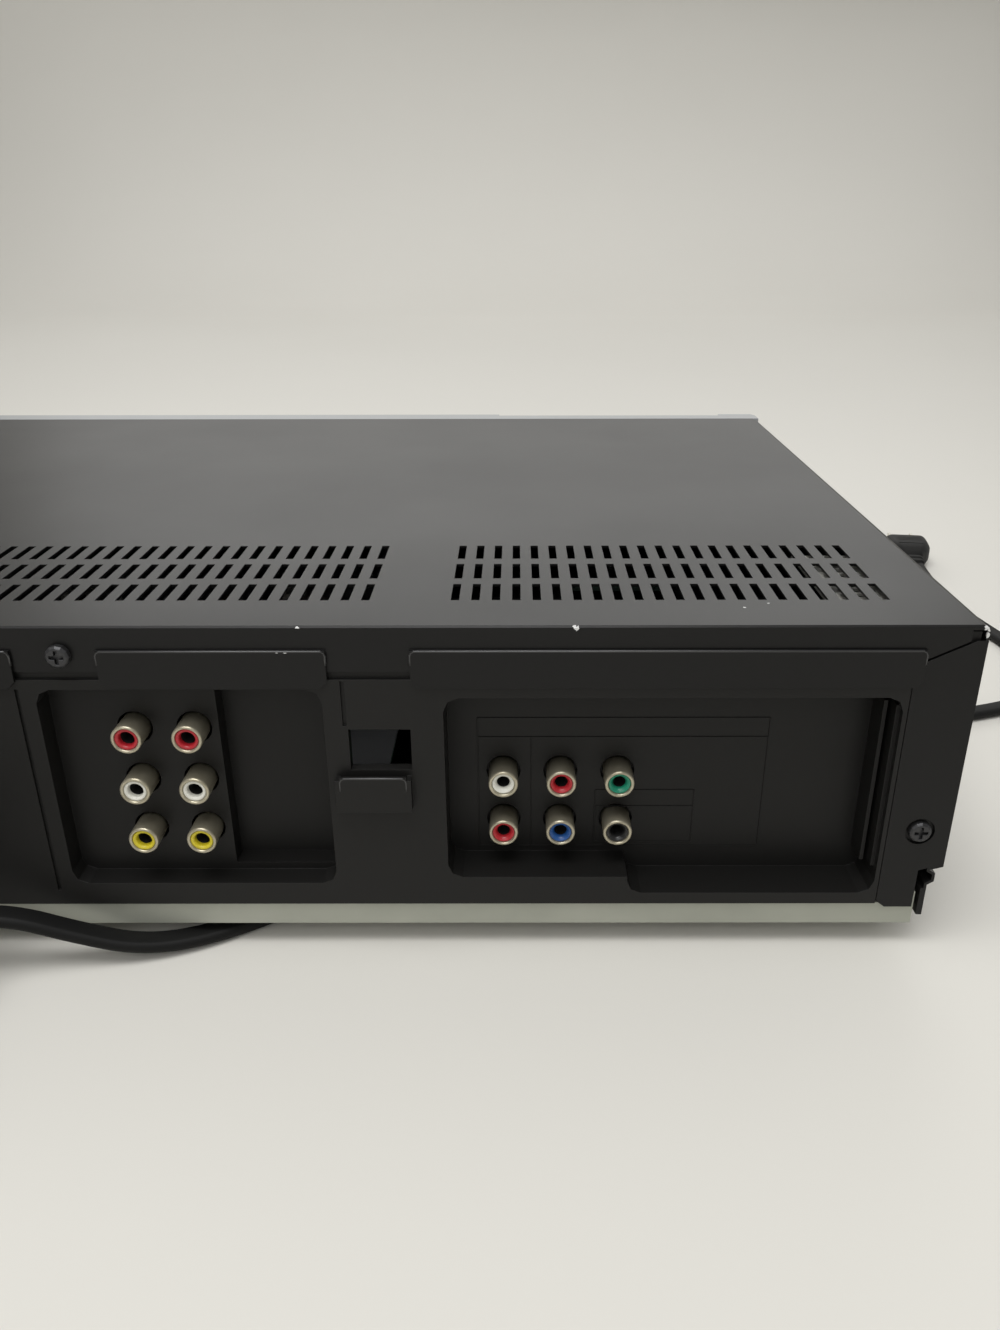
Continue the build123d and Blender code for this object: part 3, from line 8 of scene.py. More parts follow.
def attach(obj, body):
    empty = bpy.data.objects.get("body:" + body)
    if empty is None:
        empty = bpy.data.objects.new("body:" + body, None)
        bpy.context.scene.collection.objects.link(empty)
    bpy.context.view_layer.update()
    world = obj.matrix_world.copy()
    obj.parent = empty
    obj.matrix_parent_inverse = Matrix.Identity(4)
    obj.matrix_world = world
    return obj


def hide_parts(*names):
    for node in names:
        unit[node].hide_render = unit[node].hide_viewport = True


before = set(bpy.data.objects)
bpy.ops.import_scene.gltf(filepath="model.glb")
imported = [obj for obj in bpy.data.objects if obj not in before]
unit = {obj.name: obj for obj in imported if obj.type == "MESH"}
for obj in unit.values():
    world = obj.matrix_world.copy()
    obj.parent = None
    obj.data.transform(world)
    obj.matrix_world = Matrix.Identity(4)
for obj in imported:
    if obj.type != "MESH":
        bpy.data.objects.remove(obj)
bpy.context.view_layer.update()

# ---------------------------------------------------------------- camera
# The photograph was taken from behind the machine, a little above its top, with the
# disc side at the right. The numbers were fitted to edges, slots and jacks.
REAR = 0.1429
camera = bpy.data.objects.new("camera", bpy.data.cameras.new("camera"))
bpy.context.scene.collection.objects.link(camera)
LENS, SENSOR = 27.783, 36.0
SHIFT_X, SHIFT_Y = -0.01166, 0.00197
camera.data.lens = LENS
camera.data.sensor_width = SENSOR
camera.data.shift_x = SHIFT_X
camera.data.shift_y = SHIFT_Y
camera.data.clip_start = 0.01
PITCH, YAW, ROLL = 0.421285, -0.001746, -0.001817
ahead = Vector((-math.sin(YAW) * math.cos(PITCH), -math.cos(YAW) * math.cos(PITCH), -math.sin(PITCH)))
level = Vector((-math.cos(YAW), math.sin(YAW), 0.0))
upward = level.cross(ahead)
right = level * math.cos(ROLL) + upward * math.sin(ROLL)
top = upward * math.cos(ROLL) - level * math.sin(ROLL)
turn = Matrix((right, top, -ahead)).transposed().to_4x4()
CAMERA_AT = (-0.09684, REAR + 0.23731, 0.1940)
camera.matrix_world = Matrix.Translation(CAMERA_AT) @ turn
bpy.context.scene.camera = camera

# ---------------------------------------------------------------- mains lead
# A flat two-core lead leaves the cassette side through a strain relief, drops to the
# table, lies in a round coil, then runs under the machine to its moulded plug. The route
# is the lead's centre line, in metres.
LEAD_W = 0.0074
LEAD_T = 0.0038
route = [
    (0.0570, 0.1633, 0.0320), (0.0570, 0.1849, 0.0300), (0.0600, 0.2079, 0.0200), (0.0720, 0.2269, 0.0085),
    (0.0916, 0.2369, 0.0021), (0.1136, 0.2369, 0.0023),
]
COIL_TURNS, STEPS_A_TURN = 4.5, 16
COIL_X, COIL_Y, COIL_R = 0.1210, 0.1979, 0.0394
COIL_FOOT, COIL_RISE = 0.0024, 0.0044
for i in range(int(COIL_TURNS * STEPS_A_TURN) + 1):
    angle = math.pi / 2 + math.tau * i / STEPS_A_TURN
    route.append((COIL_X - COIL_R * math.cos(angle), COIL_Y + COIL_R * math.sin(angle),
                  COIL_FOOT + COIL_RISE * i / STEPS_A_TURN))
route += [
    (0.1136, 0.1589, 0.0223), (0.0896, 0.1589, 0.0228), (0.0610, 0.1569, 0.0208), (0.0420, 0.1524, 0.0183),
    (0.0250, 0.1499, 0.0100), (0.0085, 0.1477, 0.0040), (-0.0090, 0.1409, 0.0024), (-0.0330, 0.1249, 0.0024),
    (-0.0710, 0.0929, 0.0024), (-0.1230, 0.0609, 0.0024), (-0.1850, 0.0329, 0.0024), (-0.2490, 0.0089, 0.0024),
    (-0.2990, -0.0041, 0.0024), (-0.3210, -0.0171, 0.0024), (-0.3330, -0.0411, 0.0024), (-0.3340, -0.0691, 0.0024),
    (-0.3290, -0.0971, 0.0024), (-0.3230, -0.1251, 0.0040), (-0.3210, -0.1531, 0.0074), (-0.3250, -0.1791, 0.0074),
]


def surface(name, colour, shade, rough, grain, relief, metal=0.0, patch=0.06, spread=0.06, coat=0.0, mirror=0.5):
    """A finish with slow colour drift, uneven gloss and a fine raised grain, sizes in metres."""
    finish = bpy.data.materials.new(name)
    finish.use_nodes = True
    nodes, links = finish.node_tree.nodes, finish.node_tree.links
    shader = nodes["Principled BSDF"]
    shader.inputs["Metallic"].default_value = metal
    shader.inputs["Coat Weight"].default_value = coat
    shader.inputs["Specular IOR Level"].default_value = mirror
    place = nodes.new("ShaderNodeTexCoord")
    drift = nodes.new("ShaderNodeTexNoise")
    drift.inputs["Scale"].default_value = 1.0 / patch
    drift.inputs["Detail"].default_value = 6.0
    links.new(place.outputs["Object"], drift.inputs["Vector"])
    tint = nodes.new("ShaderNodeMix")
    tint.data_type = "RGBA"
    tint.inputs["A"].default_value = (*shade, 1.0)
    tint.inputs["B"].default_value = (*colour, 1.0)
    links.new(drift.outputs["Fac"], tint.inputs["Factor"])
    links.new(tint.outputs["Result"], shader.inputs["Base Color"])
    gloss = nodes.new("ShaderNodeMapRange")
    gloss.inputs["To Min"].default_value = rough - spread
    gloss.inputs["To Max"].default_value = rough + spread
    links.new(drift.outputs["Fac"], gloss.inputs["Value"])
    links.new(gloss.outputs["Result"], shader.inputs["Roughness"])
    fine = nodes.new("ShaderNodeTexNoise")
    fine.inputs["Scale"].default_value = 1.0 / grain
    fine.inputs["Detail"].default_value = 3.0
    links.new(place.outputs["Object"], fine.inputs["Vector"])
    raised = nodes.new("ShaderNodeBump")
    raised.inputs["Strength"].default_value = 1.0
    raised.inputs["Distance"].default_value = relief
    links.new(fine.outputs["Fac"], raised.inputs["Height"])
    links.new(raised.outputs["Normal"], shader.inputs["Normal"])
    return finish


def mesh_piece(name, points, faces, finish, smooth=True):
    """A piece from its points and faces."""
    data = bpy.data.meshes.new(name)
    data.from_pydata([tuple(p) for p in points], [], faces)
    data.materials.append(finish)
    data.polygons.foreach_set("use_smooth", [smooth] * len(data.polygons))
    piece = bpy.data.objects.new(name, data)
    bpy.context.scene.collection.objects.link(piece)
    return piece


def tube_rings(rings):
    """Points and faces of a closed skin over rings that all have the same count."""
    count = len(rings[0])
    points = [p for ring in rings for p in ring]
    faces = []
    for i in range(len(rings) - 1):
        for k in range(count):
            near, far = i * count, (i + 1) * count
            faces.append((near + k, near + (k + 1) % count, far + (k + 1) % count, far + k))
    faces.append(tuple(reversed(range(count))))
    faces.append(tuple(range((len(rings) - 1) * count, len(rings) * count)))
    return points, faces


line = bpy.data.curves.new("lead_line", "CURVE")
line.dimensions = "3D"
line.resolution_u = 8
spline = line.splines.new("NURBS")
spline.points.add(len(route) - 1)
for point, place in zip(spline.points, route):
    point.co = (*place, 1.0)
spline.order_u = 3
spline.use_endpoint_u = True
line_piece = bpy.data.objects.new("lead_line", line)
bpy.context.scene.collection.objects.link(line_piece)
bpy.context.view_layer.update()
centre_line = [v.co.copy() for v in bpy.data.meshes.new_from_object(line_piece).vertices]
bpy.data.objects.remove(line_piece)

# two round cores side by side, with a shallow groove between them
SECTION_POINTS, GROOVE = 28, 0.00025
section = []
for i in range(SECTION_POINTS):
    angle = math.tau * i / SECTION_POINTS
    across = math.cos(angle)
    height = math.sin(angle)
    lobe = LEAD_W / 2 - LEAD_T / 2
    side = math.copysign(lobe, across) if abs(across) > 0.12 else 0.0
    if side:
        section.append((side + (LEAD_T / 2) * across, (LEAD_T / 2) * height))
    else:
        section.append((0.0, (LEAD_T / 2 - GROOVE) * height))
rings = []
for i, point in enumerate(centre_line):
    before = centre_line[max(i - 1, 0)]
    after = centre_line[min(i + 1, len(centre_line) - 1)]
    along = (after - before).normalized()
    sideways = along.cross(Vector((0, 0, 1))).normalized()
    over = sideways.cross(along)
    rings.append([point + sideways * a + over * b for a, b in section])
lead_finish = surface("lead_rubber", (0.010, 0.010, 0.0097), (0.007, 0.007, 0.0068), 0.55, 0.0007, 0.00002, mirror=0.15)
lead = mesh_piece("mains_lead", *tube_rings(rings), lead_finish)

# strain relief: a collar on the rear panel and a ribbed taper
gland_profile = [(0.0065, -0.004), (0.0065, 0.0), (0.0084, 0.0001), (0.0084, 0.0017), (0.0078, 0.0021)]
for i in range(5):
    start = 0.0030 + i * 0.0033
    wide = 0.0062 - 0.0003 * i
    gland_profile += [(wide - 0.0010, start - 0.0006), (wide, start), (wide, start + 0.0018),
                      (wide - 0.0010, start + 0.0022)]
gland_profile += [(0.0044, 0.0196), (0.0040, 0.0199)]


def turned(profile, centre, segments=40):
    """Rings of a form turned about an axis along Y, from (radius, distance along it) pairs."""
    rings = []
    for radius, along in profile:
        ring = []
        for k in range(segments):
            angle = math.tau * k / segments
            ring.append(Vector(centre) + Vector((radius * math.cos(angle), along, radius * math.sin(angle))))
        rings.append(ring)
    return rings


LEAD_EXIT = (0.057, REAR, 0.032)
relief_rings = turned(gland_profile, LEAD_EXIT)
relief_piece = mesh_piece("strain_relief", *tube_rings(relief_rings), lead_finish, smooth=False)
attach(relief_piece, "unit")
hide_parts("cord_gland")

# moulded plug, with grip ridges on both faces, and two flat blades
plug_at = Vector(route[-1])
plug_along = (Vector(route[-1]) - Vector(route[-2])).normalized()
plug_side = plug_along.cross(Vector((0, 0, 1))).normalized()
plug_over = plug_side.cross(plug_along)


def rounded_ring(origin, side, over, width, height, radius, steps=6):
    """A ring in the shape of a rounded rectangle."""
    ring = []
    for corner in range(4):
        sx = 1 if corner in (0, 3) else -1
        sz = 1 if corner in (0, 1) else -1
        for i in range(steps):
            angle = math.pi / 2 * (corner + i / (steps - 1))
            a = sx * (width / 2 - radius) + radius * math.cos(angle)
            b = sz * (height / 2 - radius) + radius * math.sin(angle)
            ring.append(origin + side * a + over * b)
    return ring


# the plug's body: distance from the lead's end in metres, then width, height and corner in mm
plug_rings = []
PLUG_FORM = [(0.0001, 8.6, 5.2, 1.8), (0.0030, 8.8, 5.6, 2.0), (0.0034, 8.0, 4.9, 1.9), (0.0052, 8.1, 5.0, 1.9),
             (0.0056, 9.4, 6.2, 2.2), (0.0080, 9.7, 6.6, 2.2), (0.0084, 8.8, 5.8, 2.0), (0.0102, 9.0, 6.0, 2.0),
             (0.0106, 10.4, 7.3, 2.4), (0.0130, 12.2, 9.2, 2.6), (0.0152, 15.8, 11.2, 3.4), (0.0185, 19.8, 12.8, 4.0),
             (0.0220, 22.7, 13.7, 4.4), (0.0260, 23.6, 13.9, 4.6), (0.0310, 23.9, 13.9, 4.6), (0.0355, 23.9, 13.9, 4.4),
             (0.0373, 23.4, 13.4, 4.0), (0.0379, 22.2, 12.2, 3.4)]
for along, wide, high, corner in PLUG_FORM:
    plug_rings.append(rounded_ring(plug_at + plug_along * along, plug_side, plug_over,
                                   wide / 1000, high / 1000, corner / 1000))
plug = mesh_piece("plug_body", *tube_rings(plug_rings), lead_finish)
RIDGES, RIDGE_FIRST, RIDGE_PITCH = 5, 0.0215, 0.0024
RIDGE_HALF, RIDGE_HEIGHT, RIDGE_FORM = 0.0068, 0.0066, (0.0013, 0.0007, 0.0003)
ridges_points, ridges_faces = [], []
for face in (-1, 1):
    for i in range(RIDGES):
        start = plug_at + plug_along * (RIDGE_FIRST + RIDGE_PITCH * i) + plug_over * face * RIDGE_HEIGHT
        ring_a = rounded_ring(start - plug_side * RIDGE_HALF, plug_along, plug_over, *RIDGE_FORM, 3)
        ring_b = rounded_ring(start + plug_side * RIDGE_HALF, plug_along, plug_over, *RIDGE_FORM, 3)
        points, faces = tube_rings([ring_a, ring_b])
        base = len(ridges_points)
        ridges_points += points
        ridges_faces += [tuple(base + k for k in face_points) for face_points in faces]
ridges = mesh_piece("plug_grip", ridges_points, ridges_faces, lead_finish, smooth=False)
ridges.parent = plug
blade_finish = surface("plated_brass", (0.62, 0.60, 0.54), (0.50, 0.47, 0.40), 0.28, 0.0009, 0.000004, metal=1.0)
BLADE_HALF_PITCH = 0.00635
blade_points, blade_faces = [], []
for sx in (-1, 1):
    root = plug_at + plug_side * sx * BLADE_HALF_PITCH
    loops = []
    for along, high in ((0.0375, 6.35), (0.0530, 6.35), (0.0550, 4.6)):
        loops.append(rounded_ring(root + plug_along * along, plug_side, plug_over, 0.0015, high / 1000, 0.0003, 3))
    points, faces = tube_rings(loops)
    base = len(blade_points)
    blade_points += points
    blade_faces += [tuple(base + k for k in face_points) for face_points in faces]
blades = mesh_piece("plug_blades", blade_points, blade_faces, blade_finish, smooth=False)
blades.parent = plug
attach(plug, "unit")
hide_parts("mains_plug")
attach(lead, "unit")
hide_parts("cord_lead", "cord_coil", "cord_run")


def dress(node, finish, edge=0.0):
    """A CAD node takes its finish, and its hard edges are eased a little."""
    piece = unit[node]
    for place in piece.material_slots:
        place.material = finish
    if edge:
        weld = piece.modifiers.new("joined", "WELD")
        weld.merge_threshold = 0.000002
        eased = piece.modifiers.new("eased", "BEVEL")
        eased.width = edge
        eased.segments = 2
        eased.limit_method = "ANGLE"
        eased.angle_limit = math.radians(35)
        eased.harden_normals = True
    return piece


# ---------------------------------------------------------------- top cover
# One folded steel sheet in satin black paint, with three rows of punched vent slots. The
# paint is chipped to bare steel at a few places on the rear fold and a tab.
RAGGED_SCALE, RAGGED_REACH, CHIP_REACH = 1300.0, 2.2, 2.1


def chipped(finish, chips, bare=(0.62, 0.62, 0.61)):
    """Bare metal shows through the finish inside each (x, y, z, radius) chip, with a ragged edge."""
    nodes, links = finish.node_tree.nodes, finish.node_tree.links
    shader = nodes["Principled BSDF"]
    place = nodes.new("ShaderNodeTexCoord")
    ragged = nodes.new("ShaderNodeTexNoise")
    ragged.inputs["Scale"].default_value = RAGGED_SCALE
    links.new(place.outputs["Object"], ragged.inputs["Vector"])
    shown = None
    for x, y, z, radius in chips:
        away = nodes.new("ShaderNodeVectorMath")
        away.operation = "DISTANCE"
        away.inputs[1].default_value = (x, y, z)
        links.new(place.outputs["Object"], away.inputs[0])
        edge = nodes.new("ShaderNodeMath")
        edge.operation = "MULTIPLY_ADD"
        edge.inputs[1].default_value = RAGGED_REACH * radius
        links.new(ragged.outputs["Fac"], edge.inputs[0])
        links.new(away.outputs["Value"], edge.inputs[2])
        inside = nodes.new("ShaderNodeMath")
        inside.operation = "LESS_THAN"
        inside.inputs[1].default_value = CHIP_REACH * radius
        links.new(edge.outputs["Value"], inside.inputs[0])
        if shown is None:
            shown = inside
        else:
            both = nodes.new("ShaderNodeMath")
            both.operation = "MAXIMUM"
            links.new(shown.outputs["Value"], both.inputs[0])
            links.new(inside.outputs["Value"], both.inputs[1])
            shown = both
    painted = shader.inputs["Base Color"].links[0].from_socket
    worn = nodes.new("ShaderNodeMix")
    worn.data_type = "RGBA"
    worn.inputs["B"].default_value = (*bare, 1.0)
    links.new(painted, worn.inputs["A"])
    links.new(shown.outputs["Value"], worn.inputs["Factor"])
    links.new(worn.outputs["Result"], shader.inputs["Base Color"])
    return finish


cover_paint = surface("cover_paint", (0.0065, 0.0063, 0.0062), (0.0048, 0.0047, 0.0046), 0.38, 0.00045,
                      0.000012, patch=0.09, mirror=0.25)
CHIPS = [(-0.1115, REAR, 0.0985, 0.0007), (-0.2146, REAR, 0.0984, 0.0011), (-0.0420, REAR, 0.0986, 0.0004),
         (-0.2143, REAR, 0.0965, 0.0007), (-0.0365, REAR + 0.001, 0.0925, 0.0004),
         (-0.0385, REAR + 0.001, 0.0925, 0.0005),
         (-0.1630, 0.1270, 0.0990, 0.0003), (-0.1560, 0.1300, 0.0990, 0.0003)]
dress("top_cover", chipped(cover_paint, CHIPS), 0.00012)

# ---------------------------------------------------------------- guard sheet
# A pale perforated sheet lies just under the vent slots at the disc side's end. It hooks
# behind the ledge of the rear panel.
SHEET_X = (-0.2105, -0.1775)
SHEET_TOP, SHEET_THICK = 0.0962, 0.0006
HOLE_PITCH, HOLE_R = 0.0042, 0.00135
SHEET_FRONT, HOOK_Y, HOOK_LOW, SHEET_ROWS = 0.0780, 0.1388, 0.0880, 14
columns = int((SHEET_X[1] - SHEET_X[0]) / HOLE_PITCH)
mesh = bmesh.new()
for i in range(columns):
    for k in range(SHEET_ROWS):
        cx = SHEET_X[0] + (i + 0.5) * HOLE_PITCH
        cy = SHEET_FRONT + (k + 0.5) * HOLE_PITCH
        ring, corners = [], []
        for j in range(8):
            angle = math.tau * j / 8 + math.pi / 8
            ring.append(mesh.verts.new((cx + HOLE_R * math.cos(angle), cy + HOLE_R * math.sin(angle),
                                        SHEET_TOP)))
        for j in range(8):
            angle = math.tau * j / 8 + math.pi / 8
            reach = HOLE_PITCH / 2 / max(abs(math.cos(angle)), abs(math.sin(angle)))
            corners.append(mesh.verts.new((cx + reach * math.cos(angle), cy + reach * math.sin(angle),
                                           SHEET_TOP)))
        for j in range(8):
            mesh.faces.new((ring[j], corners[j], corners[(j + 1) % 8], ring[(j + 1) % 8]))
        for sx, sy, j in ((1, 1, 0), (-1, 1, 2), (-1, -1, 4), (1, -1, 6)):
            tip = mesh.verts.new((cx + sx * HOLE_PITCH / 2, cy + sy * HOLE_PITCH / 2, SHEET_TOP))
            mesh.faces.new((corners[j], tip, corners[j + 1]))
holes_end = SHEET_FRONT + SHEET_ROWS * HOLE_PITCH
x0, x1 = SHEET_X[0], SHEET_X[0] + columns * HOLE_PITCH
foot = [mesh.verts.new(c) for c in ((x0, holes_end, SHEET_TOP), (x1, holes_end, SHEET_TOP),
                                    (x1, HOOK_Y, SHEET_TOP), (x0, HOOK_Y, SHEET_TOP),
                                    (x1, HOOK_Y, HOOK_LOW), (x0, HOOK_Y, HOOK_LOW))]
mesh.faces.new((foot[0], foot[1], foot[2], foot[3]))
mesh.faces.new((foot[3], foot[2], foot[4], foot[5]))
bmesh.ops.remove_doubles(mesh, verts=mesh.verts, dist=0.00001)
bmesh.ops.recalc_face_normals(mesh, faces=mesh.faces)
sheet_mesh = bpy.data.meshes.new("guard_sheet")
mesh.to_mesh(sheet_mesh)
mesh.free()
guard = bpy.data.objects.new("guard_sheet", sheet_mesh)
bpy.context.scene.collection.objects.link(guard)
enamel = surface("guard_enamel", (0.60, 0.59, 0.54), (0.48, 0.47, 0.43), 0.45, 0.0006, 0.00001)
guard.data.materials.append(enamel)
gauge = guard.modifiers.new("thickness", "SOLIDIFY")
gauge.thickness = SHEET_THICK
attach(guard, "unit")

# ---------------------------------------------------------------- rear panel and floor
# A black moulding with deep recesses round the jacks, fine textured, and the floor
# moulding that carries it and the boards.
panel_black = surface("panel_moulding", (0.0105, 0.0101, 0.0094), (0.0075, 0.0073, 0.0068), 0.46, 0.0005,
                      0.000014, spread=0.05, mirror=0.25)
dress("rear_panel", panel_black, 0.0003)
dress("main_chassis", panel_black, 0.0003)

# the rolled upper edges of the three tabs and of the cord hook, made as thin tubes in a paint much lighter than the
# cover's: a painted highlight along each edge
ROLL_R = 0.00032
TAB_TOP, TAB_FACE = 0.0926, 0.1439
ROLLED = [(-0.2000, -0.0697, TAB_TOP, TAB_FACE), (-0.0485, 0.0094, TAB_TOP, TAB_FACE),
          (0.0310, 0.1980, TAB_TOP, TAB_FACE), (-0.0676, -0.0499, 0.0570, 0.1459)]
rolled_points, rolled_faces = [], []
for x0, x1, z, y in ROLLED:
    drop = 0.0011
    turns = [(x0 + 0.0001, z - 0.0040), (x0 + 0.0001, z - drop - 0.0003), (x0 + 0.0004, z - 0.0006),
             (x0 + drop, z - 0.0002), (x1 - drop, z - 0.0002), (x1 - 0.0004, z - 0.0006),
             (x1 - 0.0001, z - drop - 0.0003), (x1 - 0.0001, z - 0.0040)]
    rings = []
    for i, (x, height) in enumerate(turns):
        before, after = turns[max(i - 1, 0)], turns[min(i + 1, len(turns) - 1)]
        along = Vector((after[0] - before[0], 0.0, after[1] - before[1])).normalized()
        out = Vector((0.0, 1.0, 0.0))
        side = along.cross(out)
        centre = Vector((x, y - ROLL_R + 0.00005, height))
        rings.append([centre + (out * math.cos(math.tau * k / 10) + side * math.sin(math.tau * k / 10)) * ROLL_R
                      for k in range(10)])
    points, faces = tube_rings(rings)
    base = len(rolled_points)
    rolled_points += points
    rolled_faces += [tuple(base + k for k in f) for f in faces]
# a black far lighter than the cover paint, so these tubes show as painted highlight lines along the edges
edge_highlight_paint = surface("rolled_edge_painted_highlight", (0.030, 0.030, 0.031), (0.016, 0.016, 0.016), 0.30, 0.0006,
                       0.000006, mirror=0.7)
rolled = mesh_piece("rolled_edge_highlights", rolled_points, rolled_faces, edge_highlight_paint)
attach(rolled, "unit")

# raised outlines on the floor of the disc side's recess, moulded with the panel
RECESS_FLOOR = REAR - 0.013
LINE_W, LINE_H, LINE_SINK, LINE_DRAFT = 0.0005, 0.00025, 0.0002, 0.00012
OUTLINES = [(-0.1661, -0.0859, 0.0668), (-0.1661, -0.0859, 0.0609), (-0.1661, -0.0859, 0.0255),
            (-0.1468, -0.1188, 0.0440), (-0.1468, -0.1188, 0.0387), (-0.1468, -0.1188, 0.0268)]
UPRIGHTS = [(-0.1661, 0.0255, 0.0668), (-0.0859, 0.0255, 0.0668), (-0.1007, 0.0255, 0.0609),
            (-0.1468, 0.0268, 0.0440), (-0.1188, 0.0268, 0.0440)]
bars = [(x0, x1, z - LINE_W / 2, z + LINE_W / 2) for x0, x1, z in OUTLINES]
bars += [(x - LINE_W / 2, x + LINE_W / 2, z0, z1) for x, z0, z1 in UPRIGHTS]
line_points, line_faces = [], []
for x0, x1, z0, z1 in bars:
    base = len(line_points)
    for y, cut in ((RECESS_FLOOR - LINE_SINK, 0.0), (RECESS_FLOOR + LINE_H, LINE_DRAFT)):
        line_points += [(x0 + cut, y, z0 + cut), (x1 - cut, y, z0 + cut),
                        (x1 - cut, y, z1 - cut), (x0 + cut, y, z1 - cut)]
    line_faces.append((base + 4, base + 7, base + 6, base + 5))
    for k in range(4):
        line_faces.append((base + k, base + 4 + k, base + 4 + (k + 1) % 4, base + (k + 1) % 4))
    line_faces.append((base, base + 1, base + 2, base + 3))
outlines = mesh_piece("recess_outlines", line_points, line_faces, panel_black, smooth=False)
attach(outlines, "unit")

# ---------------------------------------------------------------- bottom plate and feet
# Galvanised sheet with the grey-green bloom of zinc, on four moulded rubber feet.
zinc = surface("galvanised_sheet", (0.42, 0.43, 0.37), (0.30, 0.31, 0.265), 0.48, 0.003, 0.000006,
               metal=0.35, patch=0.02)
dress("bottom_plate", zinc, 0.00015)
foot_rubber = surface("foot_rubber", (0.018, 0.018, 0.018), (0.012, 0.012, 0.012), 0.7, 0.0008, 0.00004)
dress("feet", foot_rubber, 0.0003)

# ---------------------------------------------------------------- screws
# Blackened self-tapping screws with a cross recess hold the cover to the rear panel.
blackened = surface("blackened_steel", (0.075, 0.075, 0.078), (0.045, 0.045, 0.047), 0.42, 0.0008, 0.000005,
                    metal=0.8)
dress("cover_screws", blackened, 0.0002)

# ---------------------------------------------------------------- jacks
# Each jack is a turned nickel-plated sleeve with a bright lip round a coloured insulator,
# which funnels down to the hole for the plug's pin. Moulded blocks behind carry them.
PITCH_X, PITCH_Z = 0.0159, 0.0156
DISC_BLOCK, TAPE_BLOCK = (-0.1089, 0.0425), (-0.0024, 0.0515)
DISC_FACE, TAPE_FACE = RECESS_FLOOR + 0.008, RECESS_FLOOR + 0.0135
FRONT = REAR - 0.288
FRONT_FACE = FRONT + 0.0002
JACKS = []
for row, colours in ((1, ("white", "red", "green")), (-1, ("red", "blue", "black"))):
    for i, colour in enumerate(colours):
        JACKS.append((DISC_BLOCK[0] + (1 - i) * PITCH_X, DISC_BLOCK[1] + row * PITCH_Z / 2, colour,
                      DISC_FACE, "disc"))
for i in range(2):
    for k, colour in enumerate(("red", "white", "yellow")):
        JACKS.append((TAPE_BLOCK[0] + (0.5 - i) * PITCH_X, TAPE_BLOCK[1] + (1 - k) * PITCH_Z, colour,
                      TAPE_FACE, "tape"))
for x, colour in ((-0.1240, "yellow"), (-0.1081, "white"), (-0.0922, "red")):
    JACKS.append((x, 0.030, colour, FRONT_FACE, "front"))
# (radius, distance from the face) pairs in mm
LIP = [(4.05, -1.15), (4.08, -0.60), (3.98, -0.22), (3.72, -0.03), (3.50, 0.0), (3.28, -0.10),
       (3.14, -0.34), (3.06, -0.80), (3.06, -2.6)]
FUNNEL = [(3.05, -2.4), (3.05, -0.75), (2.95, -0.55), (2.70, -0.62), (2.10, -1.15), (1.80, -1.75),
          (1.75, -2.2), (1.75, -7.5)]
FLAT_FACE = [(3.05, -2.4), (3.05, -0.55), (2.92, -0.40), (2.45, -0.45), (2.15, -0.75), (2.00, -1.3), (2.00, -7.5)]
nickel = surface("nickel_plate", (0.58, 0.54, 0.42), (0.38, 0.34, 0.24), 0.34, 0.0012, 0.000004,
                 metal=0.72, patch=0.004)
sleeve_points, sleeve_faces = [], []
insert_parts = {}
throat_points, throat_faces = [], []
for x, z, colour, face, place in JACKS:
    way = -1.0 if place == "front" else 1.0
    back = FRONT + 0.0089 if place == "front" else RECESS_FLOOR - 0.0021
    root = -abs(back - face)
    profile = [(0.0030, root), (0.00402, root)]
    profile += [(r / 1000, d / 1000) for r, d in LIP] + [(0.00306, -0.0090), (0.0004, -0.0091)]
    rings = turned([(r, way * d) for r, d in profile], (x, face, z), 36)
    points, faces = tube_rings(rings)
    base = len(sleeve_points)
    sleeve_points += points
    sleeve_faces += [tuple(base + k for k in f) for f in faces]
    form = FLAT_FACE if place == "tape" else FUNNEL
    bore = [(r / 1000, way * d / 1000) for r, d in form]
    rings = turned([(0.00304, way * -0.0078)] + bore + [(0.0003, way * -0.0077)], (x, face, z), 36)
    points, faces = tube_rings(rings)
    held = insert_parts.setdefault(colour, ([], []))
    base = len(held[0])
    held[0].extend(points)
    held[1].extend(tuple(base + k for k in f) for f in faces)
    # a near-black cone down each pin hole: painted shade standing for the darkness deep inside the hole that a plug's
    # pin enters
    throat = 0.00195 if place == "tape" else 0.00172
    bore = [(throat, way * -0.0021), (0.0011, way * -0.0030), (0.0009, way * -0.0060), (0.0002, way * -0.0061)]
    rings = turned(bore, (x, face, z), 24)
    points, faces = tube_rings(rings)
    base = len(throat_points)
    throat_points += points
    throat_faces += [tuple(base + k for k in f) for f in faces[:-2]]
# near-black so that the pin hole reads as dark: painted shade, not the colour of the socket
throat_painted_shade = surface("throat_painted_shade", (0.004, 0.004, 0.004), (0.003, 0.003, 0.003), 0.6, 0.0010, 0.000006,
                       mirror=0.2)
throats = mesh_piece("jack_throats_painted_shade", throat_points, throat_faces, throat_painted_shade)
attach(throats, "unit")
sleeves = mesh_piece("jack_sleeves_turned", sleeve_points, sleeve_faces, nickel)
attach(sleeves, "unit")
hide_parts("jack_sleeves")
insert_colours = {
    "red": ((0.46, 0.020, 0.030), (0.34, 0.014, 0.020)),
    "white": ((0.74, 0.74, 0.68), (0.62, 0.61, 0.54)),
    "yellow": ((0.68, 0.58, 0.03), (0.52, 0.42, 0.02)),
    "green": ((0.015, 0.25, 0.15), (0.010, 0.17, 0.10)),
    "blue": ((0.02, 0.09, 0.30), (0.012, 0.06, 0.20)),
    "black": ((0.020, 0.020, 0.020), (0.012, 0.012, 0.012)),
}
